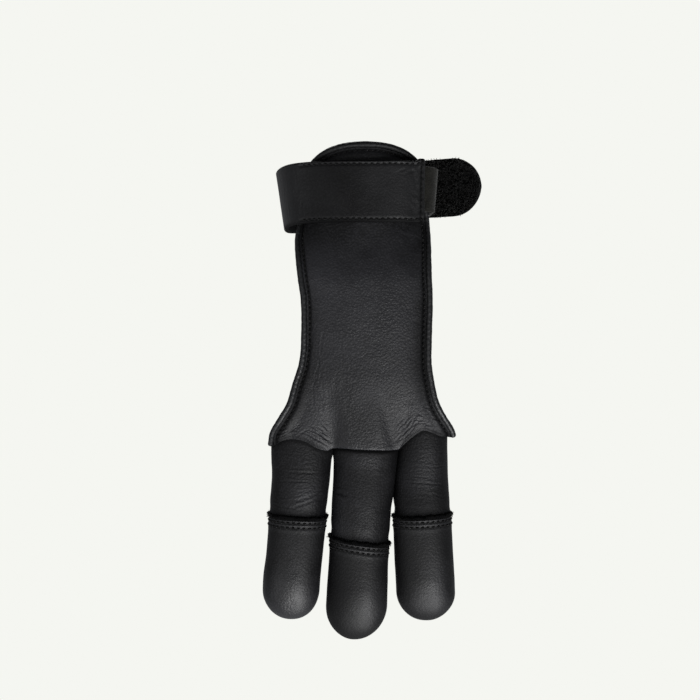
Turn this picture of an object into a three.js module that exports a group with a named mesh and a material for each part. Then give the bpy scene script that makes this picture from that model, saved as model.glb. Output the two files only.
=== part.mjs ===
import * as THREE from "three";

// Three-finger archery glove of black leather, in millimetres.
// X runs across the palm, the palm faces -Y, and +Z points from the fingertips to the wrist.
// The origin is the middle of the hollow inside the wrist loop.

const { clamp, lerp, smoothstep, degToRad, radToDeg } = THREE.MathUtils;

// Walls and gaps
const CLEARANCE = 0.3;
const PANEL_WALL = 1.2;
const BINDING_WALL = 0.8;
const BINDING_PLAY = 0.6;
const SLEEVE_WALL = 1.1;
const CAP_WALL = 1.3;
const STRAP_WALL = 1.8;
const ELASTIC_WALL = 1.2;
const HOOK_WALL = 1;
const PILE_WALL = 2;

// Hollow inside the wrist loop, a rounded oblong
const WRIST_WIDTH = 56.4;
const WRIST_DEPTH = 44;
const OBLONG = 2.3;

// Palm panel: its length runs from the wrist's middle to the finger row
const PALM_LENGTH = 108;
const PALM_WIDTH = 78;
const PALM_DEPTH = 25.5;
const TONGUE_WIDTH = 50.6;
const TONGUE_HEIGHT = 15.4;
const TONGUE_START = 2;
const ARCH_HEIGHT = 8.2;
const BINDING_REACH = 2.2;

// Finger sleeves and caps; a finger's length runs from the finger row to the tip
const INDEX_WIDTH = 24;
const INDEX_LENGTH = 71.2;
const INDEX_DOME = 12.5;
const MIDDLE_WIDTH = 25;
const MIDDLE_LENGTH = 79.7;
const MIDDLE_DOME = 14;
const RING_WIDTH = 24;
const RING_LENGTH = 72;
const RING_DOME = 12;
const ROW_SHIFT = -2.3;
const FINGER_GAP = 0.4;
const FINGER_DEPTH = 22;
const FINGER_SEAT = -9;
const SLEEVE_TUCK = 4.5;
const KNUCKLE_RISE = 9;
const PAD_TAPER = 1.6;
const CAP_LAP = 6.5;
const LIP_HEIGHT = 3;
const LIP_PROUD = 0.5;

// Strap, elastic and closure
const STRAP_WIDTH = 25.2;
const STRAP_DROP = 2.2;
const SEAM_WIDTH = 5;
const SEAM_PROUD = 0.9;
const STRAP_SLACK = 1.6;
const TAB_LENGTH = 33.8;
const ELASTIC_WIDTH = 20;
const PILE_WIDTH = 25.8;
const HOOK_WIDTH = 19;
const SIDE_FLARE = 8;
const ELASTIC_FLARE = 7;

// Facets
const PANEL_COLUMNS = 24;
const PANEL_ROWS = 26;
const TUBE_SIDES = 20;
const DOME_RINGS = 4;
const STRAP_STEPS = 46;
const ELASTIC_STEPS = 22;

// Panel outline with its binding: each side's distance from the middle line, in palm widths,
// against the share of the palm's length below the wrist's middle
const OUTLINE = [
  { at: -0.02, left: 0.324, right: 0.324 },
  { at: 0.14, left: 0.357, right: 0.34 },
  { at: 0.2, left: 0.369, right: 0.346 },
  { at: 0.26, left: 0.365, right: 0.347 },
  { at: 0.34, left: 0.353, right: 0.349 },
  { at: 0.43, left: 0.336, right: 0.353 },
  { at: 0.6, left: 0.336, right: 0.348 },
  { at: 0.675, left: 0.349, right: 0.349 },
  { at: 0.75, left: 0.382, right: 0.365 },
  { at: 0.82, left: 0.41, right: 0.388 },
  { at: 0.88, left: 0.456, right: 0.431 },
  { at: 0.93, left: 0.496, right: 0.475 },
  { at: 0.98, left: 0.51, right: 0.487 },
];

// Lower edge of the panel: its rise above the finger row, in arch heights, across the panel
const LOWER_EDGE = [
  { across: 0, rise: 0.18 },
  { across: 0.06, rise: 0.5 },
  { across: 0.12, rise: 0.56 },
  { across: 0.185, rise: 0.43 },
  { across: 0.245, rise: 0.11 },
  { across: 0.3, rise: -0.02 },
  { across: 0.34, rise: 0.1 },
  { across: 0.42, rise: 0.09 },
  { across: 0.47, rise: 0.05 },
  { across: 0.69, rise: 0.03 },
  { across: 0.725, rise: 0.27 },
  { across: 0.765, rise: 0.6 },
  { across: 0.803, rise: 0.84 },
  { across: 0.842, rise: 1 },
  { across: 0.885, rise: 0.9 },
  { across: 0.93, rise: 0.72 },
  { across: 1, rise: 0.62 },
];

// Roundness of the palm below the wrist: half breadth in palm widths, crown in palm depths
const PALM_ROUND = [
  { at: 0.1, half: 0.54, crown: 0.94 },
  { at: 0.42, half: 0.59, crown: 1.06 },
  { at: 0.7, half: 0.65, crown: 0.99 },
  { at: 0.84, half: 0.76, crown: 0.89 },
  { at: 0.93, half: 0.78, crown: 0.82 },
  { at: 1, half: 0.78, crown: 0.77 },
];

// Fingers: at and hem are shares of the length, side, wide and the mouth's tilt are in finger widths,
// and fore and the whole finger's seat are in finger depths towards the palm
const FINGERS = [
  {
    name: "index",
    width: INDEX_WIDTH,
    length: INDEX_LENGTH,
    dome: INDEX_DOME,
    hem: 0.393,
    tilt: -0.048,
    seat: 0,
    rows: [
      { at: 0, side: 0, wide: 1.085, fore: 0 },
      { at: 0.18, side: -0.02, wide: 1.02, fore: 0 },
      { at: 0.32, side: -0.058, wide: 1, fore: 0.01 },
      { at: 0.45, side: -0.082, wide: 1.006, fore: 0.02 },
      { at: 0.61, side: -0.12, wide: 0.992, fore: 0.05 },
      { at: 0.75, side: -0.168, wide: 1.01, fore: 0.09 },
      { at: 0.87, side: -0.182, wide: 1, fore: 0.13 },
      { at: 1, side: -0.17, wide: 1, fore: 0.17 },
    ],
  },
  {
    name: "middle",
    width: MIDDLE_WIDTH,
    length: MIDDLE_LENGTH,
    dome: MIDDLE_DOME,
    hem: 0.478,
    tilt: -0.134,
    seat: 0.032,
    rows: [
      { at: 0, side: 0, wide: 1.08, fore: 0 },
      { at: 0.165, side: -0.034, wide: 1.025, fore: 0 },
      { at: 0.32, side: -0.07, wide: 1.003, fore: 0.01 },
      { at: 0.45, side: -0.1, wide: 0.996, fore: 0.02 },
      { at: 0.6, side: -0.122, wide: 1, fore: 0.04 },
      { at: 0.74, side: -0.144, wide: 1.02, fore: 0.08 },
      { at: 0.87, side: -0.16, wide: 1.022, fore: 0.11 },
      { at: 1, side: -0.177, wide: 1, fore: 0.15 },
    ],
  },
  {
    name: "ring",
    width: RING_WIDTH,
    length: RING_LENGTH,
    dome: RING_DOME,
    hem: 0.386,
    tilt: 0.054,
    seat: -0.036,
    rows: [
      { at: 0, side: 0, wide: 0.86, fore: 0 },
      { at: 0.18, side: -0.02, wide: 0.92, fore: 0 },
      { at: 0.35, side: -0.014, wide: 0.99, fore: 0.01 },
      { at: 0.46, side: -0.008, wide: 1.028, fore: 0.02 },
      { at: 0.61, side: 0.008, wide: 1.038, fore: 0.05 },
      { at: 0.77, side: 0.034, wide: 1.036, fore: 0.09 },
      { at: 0.88, side: 0.042, wide: 1.03, fore: 0.12 },
      { at: 1, side: 0.03, wide: 1.02, fore: 0.15 },
    ],
  },
];

// Smooth reading of one column of a table, held level past both ends
function read(rows, key, column, at) {
  const last = rows.length - 1;
  const place = clamp(at, rows[0][key], rows[last][key]);
  const low = clamp(rows.findIndex((row) => row[key] > place) - 1, 0, last - 1);
  const start = place < rows[last][key] ? low : last - 1;
  const slope = (row) => {
    const before = rows[Math.max(row - 1, 0)];
    const after = rows[Math.min(row + 1, last)];
    return (after[column] - before[column]) / (after[key] - before[key]);
  };
  const span = rows[start + 1][key] - rows[start][key];
  const t = (place - rows[start][key]) / span;
  const t2 = t * t;
  const t3 = t2 * t;
  return (
    (2 * t3 - 3 * t2 + 1) * rows[start][column] +
    (t3 - 2 * t2 + t) * span * slope(start) +
    (3 * t2 - 2 * t3) * rows[start + 1][column] +
    (t3 - t2) * span * slope(start + 1)
  );
}

// Share of the full depth that a rounded oblong keeps at a share of its half width
const oblong = (share) => (1 - Math.min(Math.abs(share), 1) ** OBLONG) ** (1 / OBLONG);

// Direction from the middle of a rounded oblong, before its half sizes are applied
function oblongTurn(angle) {
  const spread = (value) => Math.sign(value) * Math.abs(value) ** (2 / OBLONG);
  return { x: spread(Math.cos(angle)), y: spread(Math.sin(angle)) };
}

// Closed solid through rings of points: looped, between two poles, or with flat strip ends
function loftSolid(rings, looped = false) {
  const points = rings.flat();
  const faces = [];
  const starts = rings.map((ring, i) => rings.slice(0, i).reduce((sum, r) => sum + r.length, 0));
  const last = rings.length - 1;
  for (let i = 0; i < (looped ? rings.length : last); i++) {
    const next = (i + 1) % rings.length;
    const count = Math.max(rings[i].length, rings[next].length);
    for (let j = 0; j < count; j++) {
      const k = (j + 1) % count;
      const a = starts[i] + (rings[i].length > 1 ? j : 0);
      const b = starts[i] + (rings[i].length > 1 ? k : 0);
      const c = starts[next] + (rings[next].length > 1 ? k : 0);
      const d = starts[next] + (rings[next].length > 1 ? j : 0);
      if (a !== b) faces.push([a, b, c]);
      if (c !== d) faces.push([a, c, d]);
    }
  }
  if (!looped) {
    for (const [ring, flip] of [[0, true], [last, false]]) {
      const start = starts[ring];
      const count = rings[ring].length;
      for (let j = 0; j < count / 2 - 1; j++) {
        const quad = [start + j, start + j + 1, start + count - 2 - j, start + count - 1 - j];
        if (flip) quad.reverse();
        faces.push([quad[0], quad[1], quad[2]], [quad[0], quad[2], quad[3]]);
      }
    }
  }
  const volume = faces.reduce(
    (sum, [a, b, c]) => sum + points[a].dot(new THREE.Vector3().crossVectors(points[b], points[c])),
    0,
  );
  if (volume < 0) faces.forEach((face) => face.reverse());
  const geometry = new THREE.BufferGeometry();
  const flat = points.flatMap((point) => [point.x, point.y, point.z]);
  geometry.setAttribute("position", new THREE.Float32BufferAttribute(flat, 3));
  geometry.setIndex(faces.flat());
  geometry.computeVertexNormals();
  return geometry;
}

// Fingers: each base stands beside the one before it, and the row is centred on its shift
const baseWidth = (finger) => finger.width * finger.rows[0].wide;
const rowWidth = FINGERS.reduce((sum, f) => sum + baseWidth(f), 0) + FINGER_GAP * (FINGERS.length - 1);
let rowPlace = ROW_SHIFT - rowWidth / 2;
for (const finger of FINGERS) {
  finger.base = rowPlace + baseWidth(finger) / 2;
  finger.tip = -PALM_LENGTH - finger.length;
  finger.hemLevel = -PALM_LENGTH - finger.length * finger.hem;
  rowPlace += baseWidth(finger) + FINGER_GAP;
}

// Share of a finger's half size that is left at a height, for a dome of a given length
function domeShare(finger, z, inset, length) {
  const depth = clamp((finger.tip + length - z) / (length - inset), 0, 1);
  return Math.sqrt(1 - depth * depth);
}

// Outer section of a finger at a height, drawn in by an inset. The tip is a dome, and its front and
// back close in over a longer way than its sides
function fingerSection(finger, z, inset = 0) {
  const at = (-PALM_LENGTH - z) / finger.length;
  return {
    x: finger.base + finger.width * read(finger.rows, "at", "side", at),
    y: FINGER_SEAT - FINGER_DEPTH * (finger.seat + read(finger.rows, "at", "fore", at)),
    halfWidth:
      ((finger.width * read(finger.rows, "at", "wide", at)) / 2 - inset) *
      domeShare(finger, z, inset, finger.dome),
    halfDepth: (FINGER_DEPTH / 2 - inset) * domeShare(finger, z, inset, finger.dome * PAD_TAPER),
  };
}

// One ring round a finger; the height and the inset may follow the angle
function fingerRing(finger, height, inset) {
  return Array.from({ length: TUBE_SIDES }, (_, i) => {
    const turn = oblongTurn((2 * Math.PI * i) / TUBE_SIDES);
    const z = height(turn);
    const section = fingerSection(finger, z, inset);
    return new THREE.Vector3(
      section.x + section.halfWidth * turn.x,
      section.y + section.halfDepth * turn.y,
      z,
    );
  });
}

// Height of a cap's mouth round the finger
const mouth = (finger) => (turn) => finger.hemLevel + (finger.tilt * finger.width * turn.x) / 2;

// Foremost sleeve surface at a place on the palm side, carried on straight past each shoulder
const SHOULDER = 0.85;
const SHOULDER_STEP = 0.01;
const shoulderSlope = (oblong(SHOULDER - SHOULDER_STEP) - oblong(SHOULDER)) / SHOULDER_STEP;
function sleeveFront(x, z) {
  const fronts = FINGERS.map((finger) => {
    const section = fingerSection(finger, z);
    const share = Math.abs(x - section.x) / section.halfWidth;
    const beyond = Math.max(share - SHOULDER, 0);
    const depth = oblong(Math.min(share, SHOULDER)) - beyond * shoulderSlope;
    return section.y - section.halfDepth * depth;
  });
  return Math.min(...fronts);
}

// Lowest of two depths, with their crossing rounded over a short width
function softMin(a, b, width) {
  const overlap = Math.max(width - Math.abs(a - b), 0) / width;
  return Math.min(a, b) - (overlap * overlap * width) / 4;
}

// Palm panel: its edges stand in from the outline by the binding that wraps them
const panelSeat = BINDING_PLAY + BINDING_WALL;
const panelLow = (across) => ARCH_HEIGHT * read(LOWER_EDGE, "across", "rise", across) - PALM_LENGTH;

function panelEdges(z) {
  const at = -z / PALM_LENGTH;
  const below = smoothstep(at, OUTLINE[0].at, OUTLINE[1].at);
  const side = (column) =>
    lerp(TONGUE_WIDTH / 2, PALM_WIDTH * read(OUTLINE, "at", column, at), below) - panelSeat;
  return { left: -side("left"), right: side("right") };
}

// Inner face of the panel: the wrist's roundness above, the palm's below, and the sleeves' fronts
const WRIST_END = 0.15;
const PALM_START = 0.42;
const EDGE_LIFT = 2.3;
const EDGE_REACH = 6;
const PADS_START = 0.7;
const PADS_END = 0.86;
const PAD_BLEND = 3.5;

function panelInner(x, z) {
  const at = -z / PALM_LENGTH;
  const palm = smoothstep(at, WRIST_END, PALM_START);
  const half = lerp(WRIST_WIDTH / 2 + panelSeat, PALM_WIDTH * read(PALM_ROUND, "at", "half", at), palm);
  const crown = lerp(WRIST_DEPTH / 2 + panelSeat, PALM_DEPTH * read(PALM_ROUND, "at", "crown", at), palm);
  const edges = panelEdges(z);
  const inside = Math.min(x - edges.left, edges.right - x);
  const lift = EDGE_LIFT * (1 - smoothstep(inside, BINDING_REACH, BINDING_REACH + EDGE_REACH));
  const sunk = PALM_DEPTH * (1 - smoothstep(at, PADS_START, PADS_END));
  const pads = sleeveFront(x, z) - CLEARANCE - lift + sunk;
  return softMin(-crown * oblong(x / half), pads, PAD_BLEND);
}

// Place on the panel's middle surface, with its direction towards the palm side
const SLOPE_STEP = 0.5;
function panelSpot(x, z) {
  const slopeX = (panelInner(x + SLOPE_STEP, z) - panelInner(x - SLOPE_STEP, z)) / (2 * SLOPE_STEP);
  const slopeZ = (panelInner(x, z + SLOPE_STEP) - panelInner(x, z - SLOPE_STEP)) / (2 * SLOPE_STEP);
  const out = new THREE.Vector3(slopeX, -1, slopeZ).normalize();
  return { middle: new THREE.Vector3(x, panelInner(x, z), z).addScaledVector(out, PANEL_WALL / 2), out };
}

// The same at a share across the panel and a share up from its lower edge
function panelPlace(across, up) {
  const dome = oblong(2 * across - 1);
  const z = lerp(panelLow(across), TONGUE_START + TONGUE_HEIGHT * dome, up);
  const edges = panelEdges(z);
  return { x: lerp(edges.left, edges.right, across), z };
}

const steps = (count) => Array.from({ length: count + 1 }, (_, i) => i / count);

// Columns stand closer towards both edges, where the tongue turns most, and rows towards the fingers
const EDGE_CROWDING = 0.6;
const columns = steps(PANEL_COLUMNS).map((s) => lerp(s, (1 - Math.cos(Math.PI * s)) / 2, EDGE_CROWDING));
const LOW_CROWDING = 0.5;
const levels = steps(PANEL_ROWS).map((s) => lerp(s, s * s, LOW_CROWDING));

function palmPanel() {
  const face = (spots, side) =>
    spots.map(({ middle, out }) => middle.clone().addScaledVector(out, (side * PANEL_WALL) / 2));
  const rings = levels.map((up) => {
    const places = columns.map((across) => panelPlace(across, up));
    const spots = places.map(({ x, z }) => panelSpot(x, z));
    return [...face(spots, -1), ...face(spots, 1).reverse()];
  });
  return loftSolid(rings);
}

// Rolled edging: up the left edge, over the tongue and down the right edge. Its two lips follow
// the panel's surface a short reach in from the edge
function panelBinding() {
  const route = [
    ...levels.map((up) => panelPlace(0, up)),
    ...columns.slice(1, -1).map((across) => panelPlace(across, 1)),
    ...levels.map((up) => panelPlace(1, 1 - up)),
  ];
  const slot = PANEL_WALL / 2 + BINDING_PLAY;
  const roll = slot + BINDING_WALL;
  const rings = route.map(({ x, z }, i) => {
    const before = route[Math.max(i - 1, 0)];
    const after = route[Math.min(i + 1, route.length - 1)];
    const run = Math.hypot(after.x - before.x, after.z - before.z);
    const inward = { x: (after.z - before.z) / run, z: (before.x - after.x) / run };
    const edge = panelSpot(x, z);
    const near = (reach) => panelSpot(x + inward.x * reach, z + inward.z * reach);
    const stretch = BINDING_REACH / edge.middle.distanceTo(near(BINDING_REACH).middle);
    const lip = near(BINDING_REACH * stretch);
    const aside = edge.middle.clone().sub(lip.middle).normalize();
    const at = (spot, reach, proud) =>
      spot.middle.clone().addScaledVector(aside, reach).addScaledVector(spot.out, proud);
    return [
      at(lip, 0, -roll),
      at(edge, BINDING_PLAY, -roll),
      at(edge, panelSeat, 0),
      at(edge, BINDING_PLAY, roll),
      at(lip, 0, roll),
      at(lip, 0, slot),
      at(edge, BINDING_PLAY / 2, slot),
      at(edge, BINDING_PLAY, 0),
      at(edge, BINDING_PLAY / 2, -slot),
      at(lip, 0, -slot),
    ];
  });
  return loftSolid(rings);
}

// Top rim of a sleeve: tucked under the panel in front, raised over the knuckle behind
function sleeveRim(finger) {
  return (turn) => {
    const section = fingerSection(finger, -PALM_LENGTH);
    const edges = panelEdges(-PALM_LENGTH);
    const x = section.x + section.halfWidth * turn.x;
    const arch = panelLow((x - edges.left) / (edges.right - edges.left));
    const behind = (1 + turn.y) / 2;
    return lerp(arch + SLEEVE_TUCK, KNUCKLE_RISE - PALM_LENGTH, behind);
  };
}

// Finger sleeve: an open tube whose lower end is drawn in to fit inside the cap
const SLEEVE_LEVELS = [0, 0.17, 0.34, 0.5, 0.66, 0.82, 1];
function fingerSleeve(finger) {
  const fit = CAP_WALL + CLEARANCE;
  const hem = mouth(finger);
  const rim = sleeveRim(finger);
  const above = (turn) => hem(turn) + LIP_HEIGHT;
  const rows = SLEEVE_LEVELS.map((s) => ({ height: (turn) => lerp(rim(turn), above(turn), s), inset: 0 }));
  rows.push({ height: (turn) => hem(turn) + CLEARANCE, inset: fit });
  rows.push({ height: (turn) => hem(turn) - CAP_LAP, inset: fit });
  const outer = rows.map(({ height, inset }) => fingerRing(finger, height, inset));
  const inner = rows.map(({ height, inset }) => fingerRing(finger, height, inset + SLEEVE_WALL));
  return loftSolid([...outer, ...inner.reverse()], true);
}

// Fingertip cap: a thimble with a raised lip round its mouth
const CAP_LEVELS = [0.25, 0.5, 0.75];
function fingerCap(finger) {
  const hem = mouth(finger);
  const domeStart = finger.tip + finger.dome;
  const lipEnd = (turn) => hem(turn) - LIP_HEIGHT;
  const body = [0, ...CAP_LEVELS].map((s) => (turn) => lerp(lipEnd(turn) - CLEARANCE, domeStart, s));
  const domeRings = (inset) =>
    Array.from({ length: DOME_RINGS }, (_, i) => {
      const depth = (finger.dome - inset) * Math.sin((Math.PI / 2) * (i / DOME_RINGS));
      return fingerRing(finger, () => domeStart - depth, inset);
    });
  const pole = (inset) => {
    const z = finger.tip + inset;
    const section = fingerSection(finger, z, inset);
    return [new THREE.Vector3(section.x, section.y, z)];
  };
  const wall = (inset) => [...body.map((height) => fingerRing(finger, height, inset)), ...domeRings(inset)];
  const outer = [fingerRing(finger, hem, -LIP_PROUD), fingerRing(finger, lipEnd, -LIP_PROUD), ...wall(0)];
  const inner = [fingerRing(finger, hem, CAP_WALL), ...wall(CAP_WALL)];
  return loftSolid([pole(0), ...outer.reverse(), ...inner, pole(CAP_WALL)]);
}

// Layers round the wrist: how far the middle of each band stands out from the hollow
const bindingTop = PANEL_WALL + 2 * panelSeat;
const elasticOver = bindingTop + 2 * CLEARANCE + ELASTIC_WALL / 2;
const elasticSide = 2 * CLEARANCE + ELASTIC_WALL / 2;
const hookSeat = elasticSide + ELASTIC_WALL / 2 + CLEARANCE + HOOK_WALL / 2;
const pileSeat = hookSeat + HOOK_WALL / 2 + 2 * CLEARANCE + PILE_WALL / 2;
const strapBack = pileSeat + PILE_WALL / 2 + CLEARANCE + STRAP_WALL / 2;
const strapFront = bindingTop + 2 * CLEARANCE + STRAP_WALL / 2;
const strapEnd = elasticOver + ELASTIC_WALL / 2 + 2 * CLEARANCE + STRAP_WALL / 2;

// Routes round the wrist, the strap's towards the left and the elastic's towards the right.
// Turn is in degrees from the front, stand is the layer, and climb is in strap widths
const STRAP_ROUTE = [
  { turn: -39, stand: strapEnd, climb: 0 },
  { turn: -20, stand: strapEnd, climb: 0 },
  { turn: -4, stand: strapFront, climb: 0 },
  { turn: 36, stand: strapFront, climb: 0.01 },
  { turn: 58, stand: strapFront + STRAP_SLACK, climb: 0 },
  { turn: 90, stand: strapFront + STRAP_SLACK, climb: -0.045 },
  { turn: 140, stand: strapBack, climb: 0.04 },
  { turn: 180, stand: strapBack, climb: 0.2 },
  { turn: 214, stand: strapBack, climb: 0.29 },
];
const ELASTIC_ROUTE = [
  { turn: 22, stand: elasticOver, climb: 0.105 },
  { turn: 56, stand: elasticOver, climb: 0.11 },
  { turn: 78, stand: elasticSide + CLEARANCE, climb: 0.12 },
  { turn: 90, stand: elasticSide, climb: 0.125 },
  { turn: 130, stand: elasticSide, climb: 0.17 },
  { turn: 176, stand: elasticSide, climb: 0.2 },
];
const LEFT = -1;
const RIGHT = 1;
const UP = new THREE.Vector3(0, 0, 1);

// Place on a route: the middle of the band, its outward direction and how far its top leans out
function routePlace(route, side, flare, turn) {
  const spot = (degrees) => {
    const around = oblongTurn(degToRad(degrees - 90));
    const stand = read(route, "turn", "stand", degrees);
    return new THREE.Vector3(
      side * (WRIST_WIDTH / 2 + stand) * around.x,
      (WRIST_DEPTH / 2 + stand) * around.y,
      STRAP_WIDTH * read(route, "turn", "climb", degrees) - STRAP_DROP,
    );
  };
  const along = spot(turn + 1).sub(spot(turn - 1)).setZ(0).normalize();
  const out = new THREE.Vector3(along.y, -along.x, 0).multiplyScalar(side);
  const lean = Math.tan(degToRad(flare)) * Math.sin(degToRad(turn)) ** 4;
  return { middle: spot(turn), along, out, lean };
}

// Band along a line of places; its half height may change from place to place
function bandSolid(places) {
  const corners = [[-1, -1], [1, -1], [1, 1], [-1, 1]];
  const rings = places.map(({ middle, out, lean, halfHeight, inside, outside }) =>
    corners.map(([rise, side]) =>
      middle
        .clone()
        .addScaledVector(UP, rise * halfHeight)
        .addScaledVector(out, (side < 0 ? inside : outside) + rise * halfHeight * lean),
    ),
  );
  return loftSolid(rings);
}

// The strap's line from a turn on: round the wrist, and then straight out as the round-ended tab
const TAB_START = STRAP_ROUTE[STRAP_ROUTE.length - 1].turn;
const TAB_STEPS = 12;
const TAB_ROUND = 0.995;
function strapLine(from, count, width, inside, outside) {
  const size = { halfHeight: width / 2, inside, outside };
  const around = steps(count).map((s) => ({
    ...routePlace(STRAP_ROUTE, LEFT, SIDE_FLARE, lerp(from, TAB_START, s)),
    ...size,
  }));
  const start = around[count];
  const tab = steps(TAB_STEPS).slice(1).map((s) => {
    const run = TAB_LENGTH * Math.sin((Math.PI / 2) * s);
    const past = clamp(1 - (TAB_LENGTH - run) / size.halfHeight, 0, TAB_ROUND);
    return {
      ...start,
      middle: start.middle.clone().addScaledVector(start.along, run),
      halfHeight: size.halfHeight * Math.sqrt(1 - past * past),
    };
  });
  return [...around, ...tab];
}

// Leather strap: its first end is folded over into a thicker seam
function wristStrap() {
  const half = STRAP_WALL / 2;
  const start = STRAP_ROUTE[0].turn;
  const seamEnd = start + radToDeg(SEAM_WIDTH / (WRIST_WIDTH / 2 + strapEnd));
  const seam = [start, seamEnd].map((turn) => ({
    ...routePlace(STRAP_ROUTE, LEFT, SIDE_FLARE, turn),
    halfHeight: STRAP_WIDTH / 2,
    inside: -half,
    outside: half + SEAM_PROUD,
  }));
  return bandSolid([...seam, ...strapLine(seamEnd + 1, STRAP_STEPS, STRAP_WIDTH, -half, half)]);
}

// Pile on the inner face of the strap's free end
const PILE_START = 188;
const PILE_STEPS = 6;
function loopPad() {
  const seat = -STRAP_WALL / 2 - CLEARANCE;
  return bandSolid(strapLine(PILE_START, PILE_STEPS, PILE_WIDTH, seat - PILE_WALL, seat));
}

// Band on the elastic's route between two turns
function elasticLine(from, to, count, width, inside, outside) {
  return steps(count).map((s) => ({
    ...routePlace(ELASTIC_ROUTE, RIGHT, ELASTIC_FLARE, lerp(from, to, s)),
    halfHeight: width / 2,
    inside,
    outside,
  }));
}

function strapElastic() {
  const half = ELASTIC_WALL / 2;
  const ends = [ELASTIC_ROUTE[0].turn, ELASTIC_ROUTE[ELASTIC_ROUTE.length - 1].turn];
  return bandSolid(elasticLine(...ends, ELASTIC_STEPS, ELASTIC_WIDTH, -half, half));
}

// Hook patch on the elastic's outer face at the back
const HOOK_START = 126;
const HOOK_END = 172;
const HOOK_STEPS = 10;
function hookPatch() {
  const seat = ELASTIC_WALL / 2 + CLEARANCE;
  return bandSolid(elasticLine(HOOK_START, HOOK_END, HOOK_STEPS, HOOK_WIDTH, seat, seat + HOOK_WALL));
}

// Finishes
const leather = { color: 0x2c2d2f, roughness: 0.55, metalness: 0 };
const capLeather = { color: 0x2a2b2d, roughness: 0.48, metalness: 0 };
const edging = { color: 0x313335, roughness: 0.5, metalness: 0 };
const webbing = { color: 0x232222, roughness: 0.9, metalness: 0 };
const pile = { color: 0x0e0e0e, roughness: 1, metalness: 0 };

const glove = new THREE.Group();
function addPiece(name, geometry, finish) {
  const mesh = new THREE.Mesh(geometry, new THREE.MeshStandardMaterial(finish));
  mesh.name = name;
  glove.add(mesh);
}

addPiece("palm_panel", palmPanel(), leather);
addPiece("panel_binding", panelBinding(), edging);
for (const finger of FINGERS) {
  addPiece(`${finger.name}_sleeve`, fingerSleeve(finger), leather);
  addPiece(`${finger.name}_cap`, fingerCap(finger), capLeather);
}
addPiece("wrist_strap", wristStrap(), leather);
addPiece("strap_elastic", strapElastic(), webbing);
addPiece("loop_pad", loopPad(), pile);
addPiece("hook_patch", hookPatch(), webbing);

export default glove;
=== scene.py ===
import math

import bpy
import mathutils
import numpy as np
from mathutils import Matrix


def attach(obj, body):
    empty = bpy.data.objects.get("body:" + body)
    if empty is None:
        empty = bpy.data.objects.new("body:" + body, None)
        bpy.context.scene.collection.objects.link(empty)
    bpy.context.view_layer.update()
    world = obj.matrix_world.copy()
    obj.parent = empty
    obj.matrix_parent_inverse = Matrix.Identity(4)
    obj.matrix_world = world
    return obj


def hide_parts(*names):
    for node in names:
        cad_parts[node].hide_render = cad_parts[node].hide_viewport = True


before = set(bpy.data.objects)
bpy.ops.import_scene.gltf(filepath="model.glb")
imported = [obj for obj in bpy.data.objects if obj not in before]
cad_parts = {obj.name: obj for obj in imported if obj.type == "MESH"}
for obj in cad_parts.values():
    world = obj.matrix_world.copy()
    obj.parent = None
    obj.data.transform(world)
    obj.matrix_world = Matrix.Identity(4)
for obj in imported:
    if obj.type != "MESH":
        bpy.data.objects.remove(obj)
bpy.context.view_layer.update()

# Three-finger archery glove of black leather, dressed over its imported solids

# Sizes are in millimetres until a mesh is made. X runs across the palm, +Z points from the
# fingertips to the wrist, the palm faces -Y, and the origin is the middle of the wrist loop.
MM = 0.001
ROOT = "root"
UP = np.array([0, 0, 1.0])

# Walls and play
PANEL_WALL = 1.2
SLEEVE_WALL = 1.1
CAP_WALL = 1.3
STRAP_WALL = 1.8
ELASTIC_WALL = 1.2
HOOK_WALL = 1.0
PILE_WALL = 2.0
CLEARANCE = 0.3
BINDING_WALL = 0.8
BINDING_PLAY = 0.6
PANEL_SEAT = BINDING_PLAY + BINDING_WALL

# Hollow inside the wrist loop
WRIST_WIDTH = 56.4
WRIST_DEPTH = 44.0
OBLONG = 2.3

# Palm panel
PALM_LENGTH = 108.0
PALM_WIDTH = 78.0
PALM_DEPTH = 25.5
TONGUE_WIDTH = 50.6
TONGUE_HEIGHT = 15.4
TONGUE_START = 2.0
ARCH_HEIGHT = 8.2

# Fingers
ROW_SHIFT = -2.3
FINGER_GAP = 0.4
FINGER_DEPTH = 22.0
FINGER_SEAT = -9.0
SLEEVE_TUCK = 4.5
KNUCKLE_RISE = 9.0
PAD_TAPER = 1.6
CAP_LAP = 6.5

# Strap, elastic and closure
STRAP_WIDTH = 25.2
STRAP_DROP = 2.2
STRAP_SLACK = 1.6
SEAM_WIDTH = 5.0
TAB_LENGTH = 33.8
ELASTIC_WIDTH = 20.0
PILE_WIDTH = 25.8
HOOK_WIDTH = 19.0
SIDE_FLARE = 8.0
ELASTIC_FLARE = 7.0
ELASTIC_DRAW = 0.7

# Stitching
STITCH_PITCH = 2.2
STITCH_LENGTH = 1.5
THREAD = 0.36
CAP_THREAD = 0.4

# Panel outline with its edging, in palm widths from the middle line, down the palm's length
OUTLINE = {
    "at": [-0.02, 0.14, 0.2, 0.26, 0.34, 0.43, 0.6, 0.675, 0.75, 0.82, 0.88, 0.93, 0.98],
    "left": [0.324, 0.357, 0.369, 0.365, 0.353, 0.336, 0.336, 0.349, 0.382, 0.41, 0.456, 0.496, 0.51],
    "right": [0.324, 0.34, 0.346, 0.347, 0.349, 0.353, 0.348, 0.349, 0.365, 0.388, 0.431, 0.475, 0.487],
}
# Lower edge of the panel: its rise above the finger row in arch heights, across the panel
LOWER_EDGE = {
    "at": [
        0, 0.06, 0.12, 0.185, 0.245, 0.3, 0.34, 0.42, 0.47, 0.69, 0.725, 0.765, 0.803, 0.842,
        0.885, 0.93, 1,
    ],
    "rise": [
        0.18, 0.5, 0.56, 0.43, 0.11, -0.02, 0.1, 0.09, 0.05, 0.03, 0.27, 0.6, 0.84, 1,
        0.9, 0.72, 0.62,
    ],
}
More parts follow.
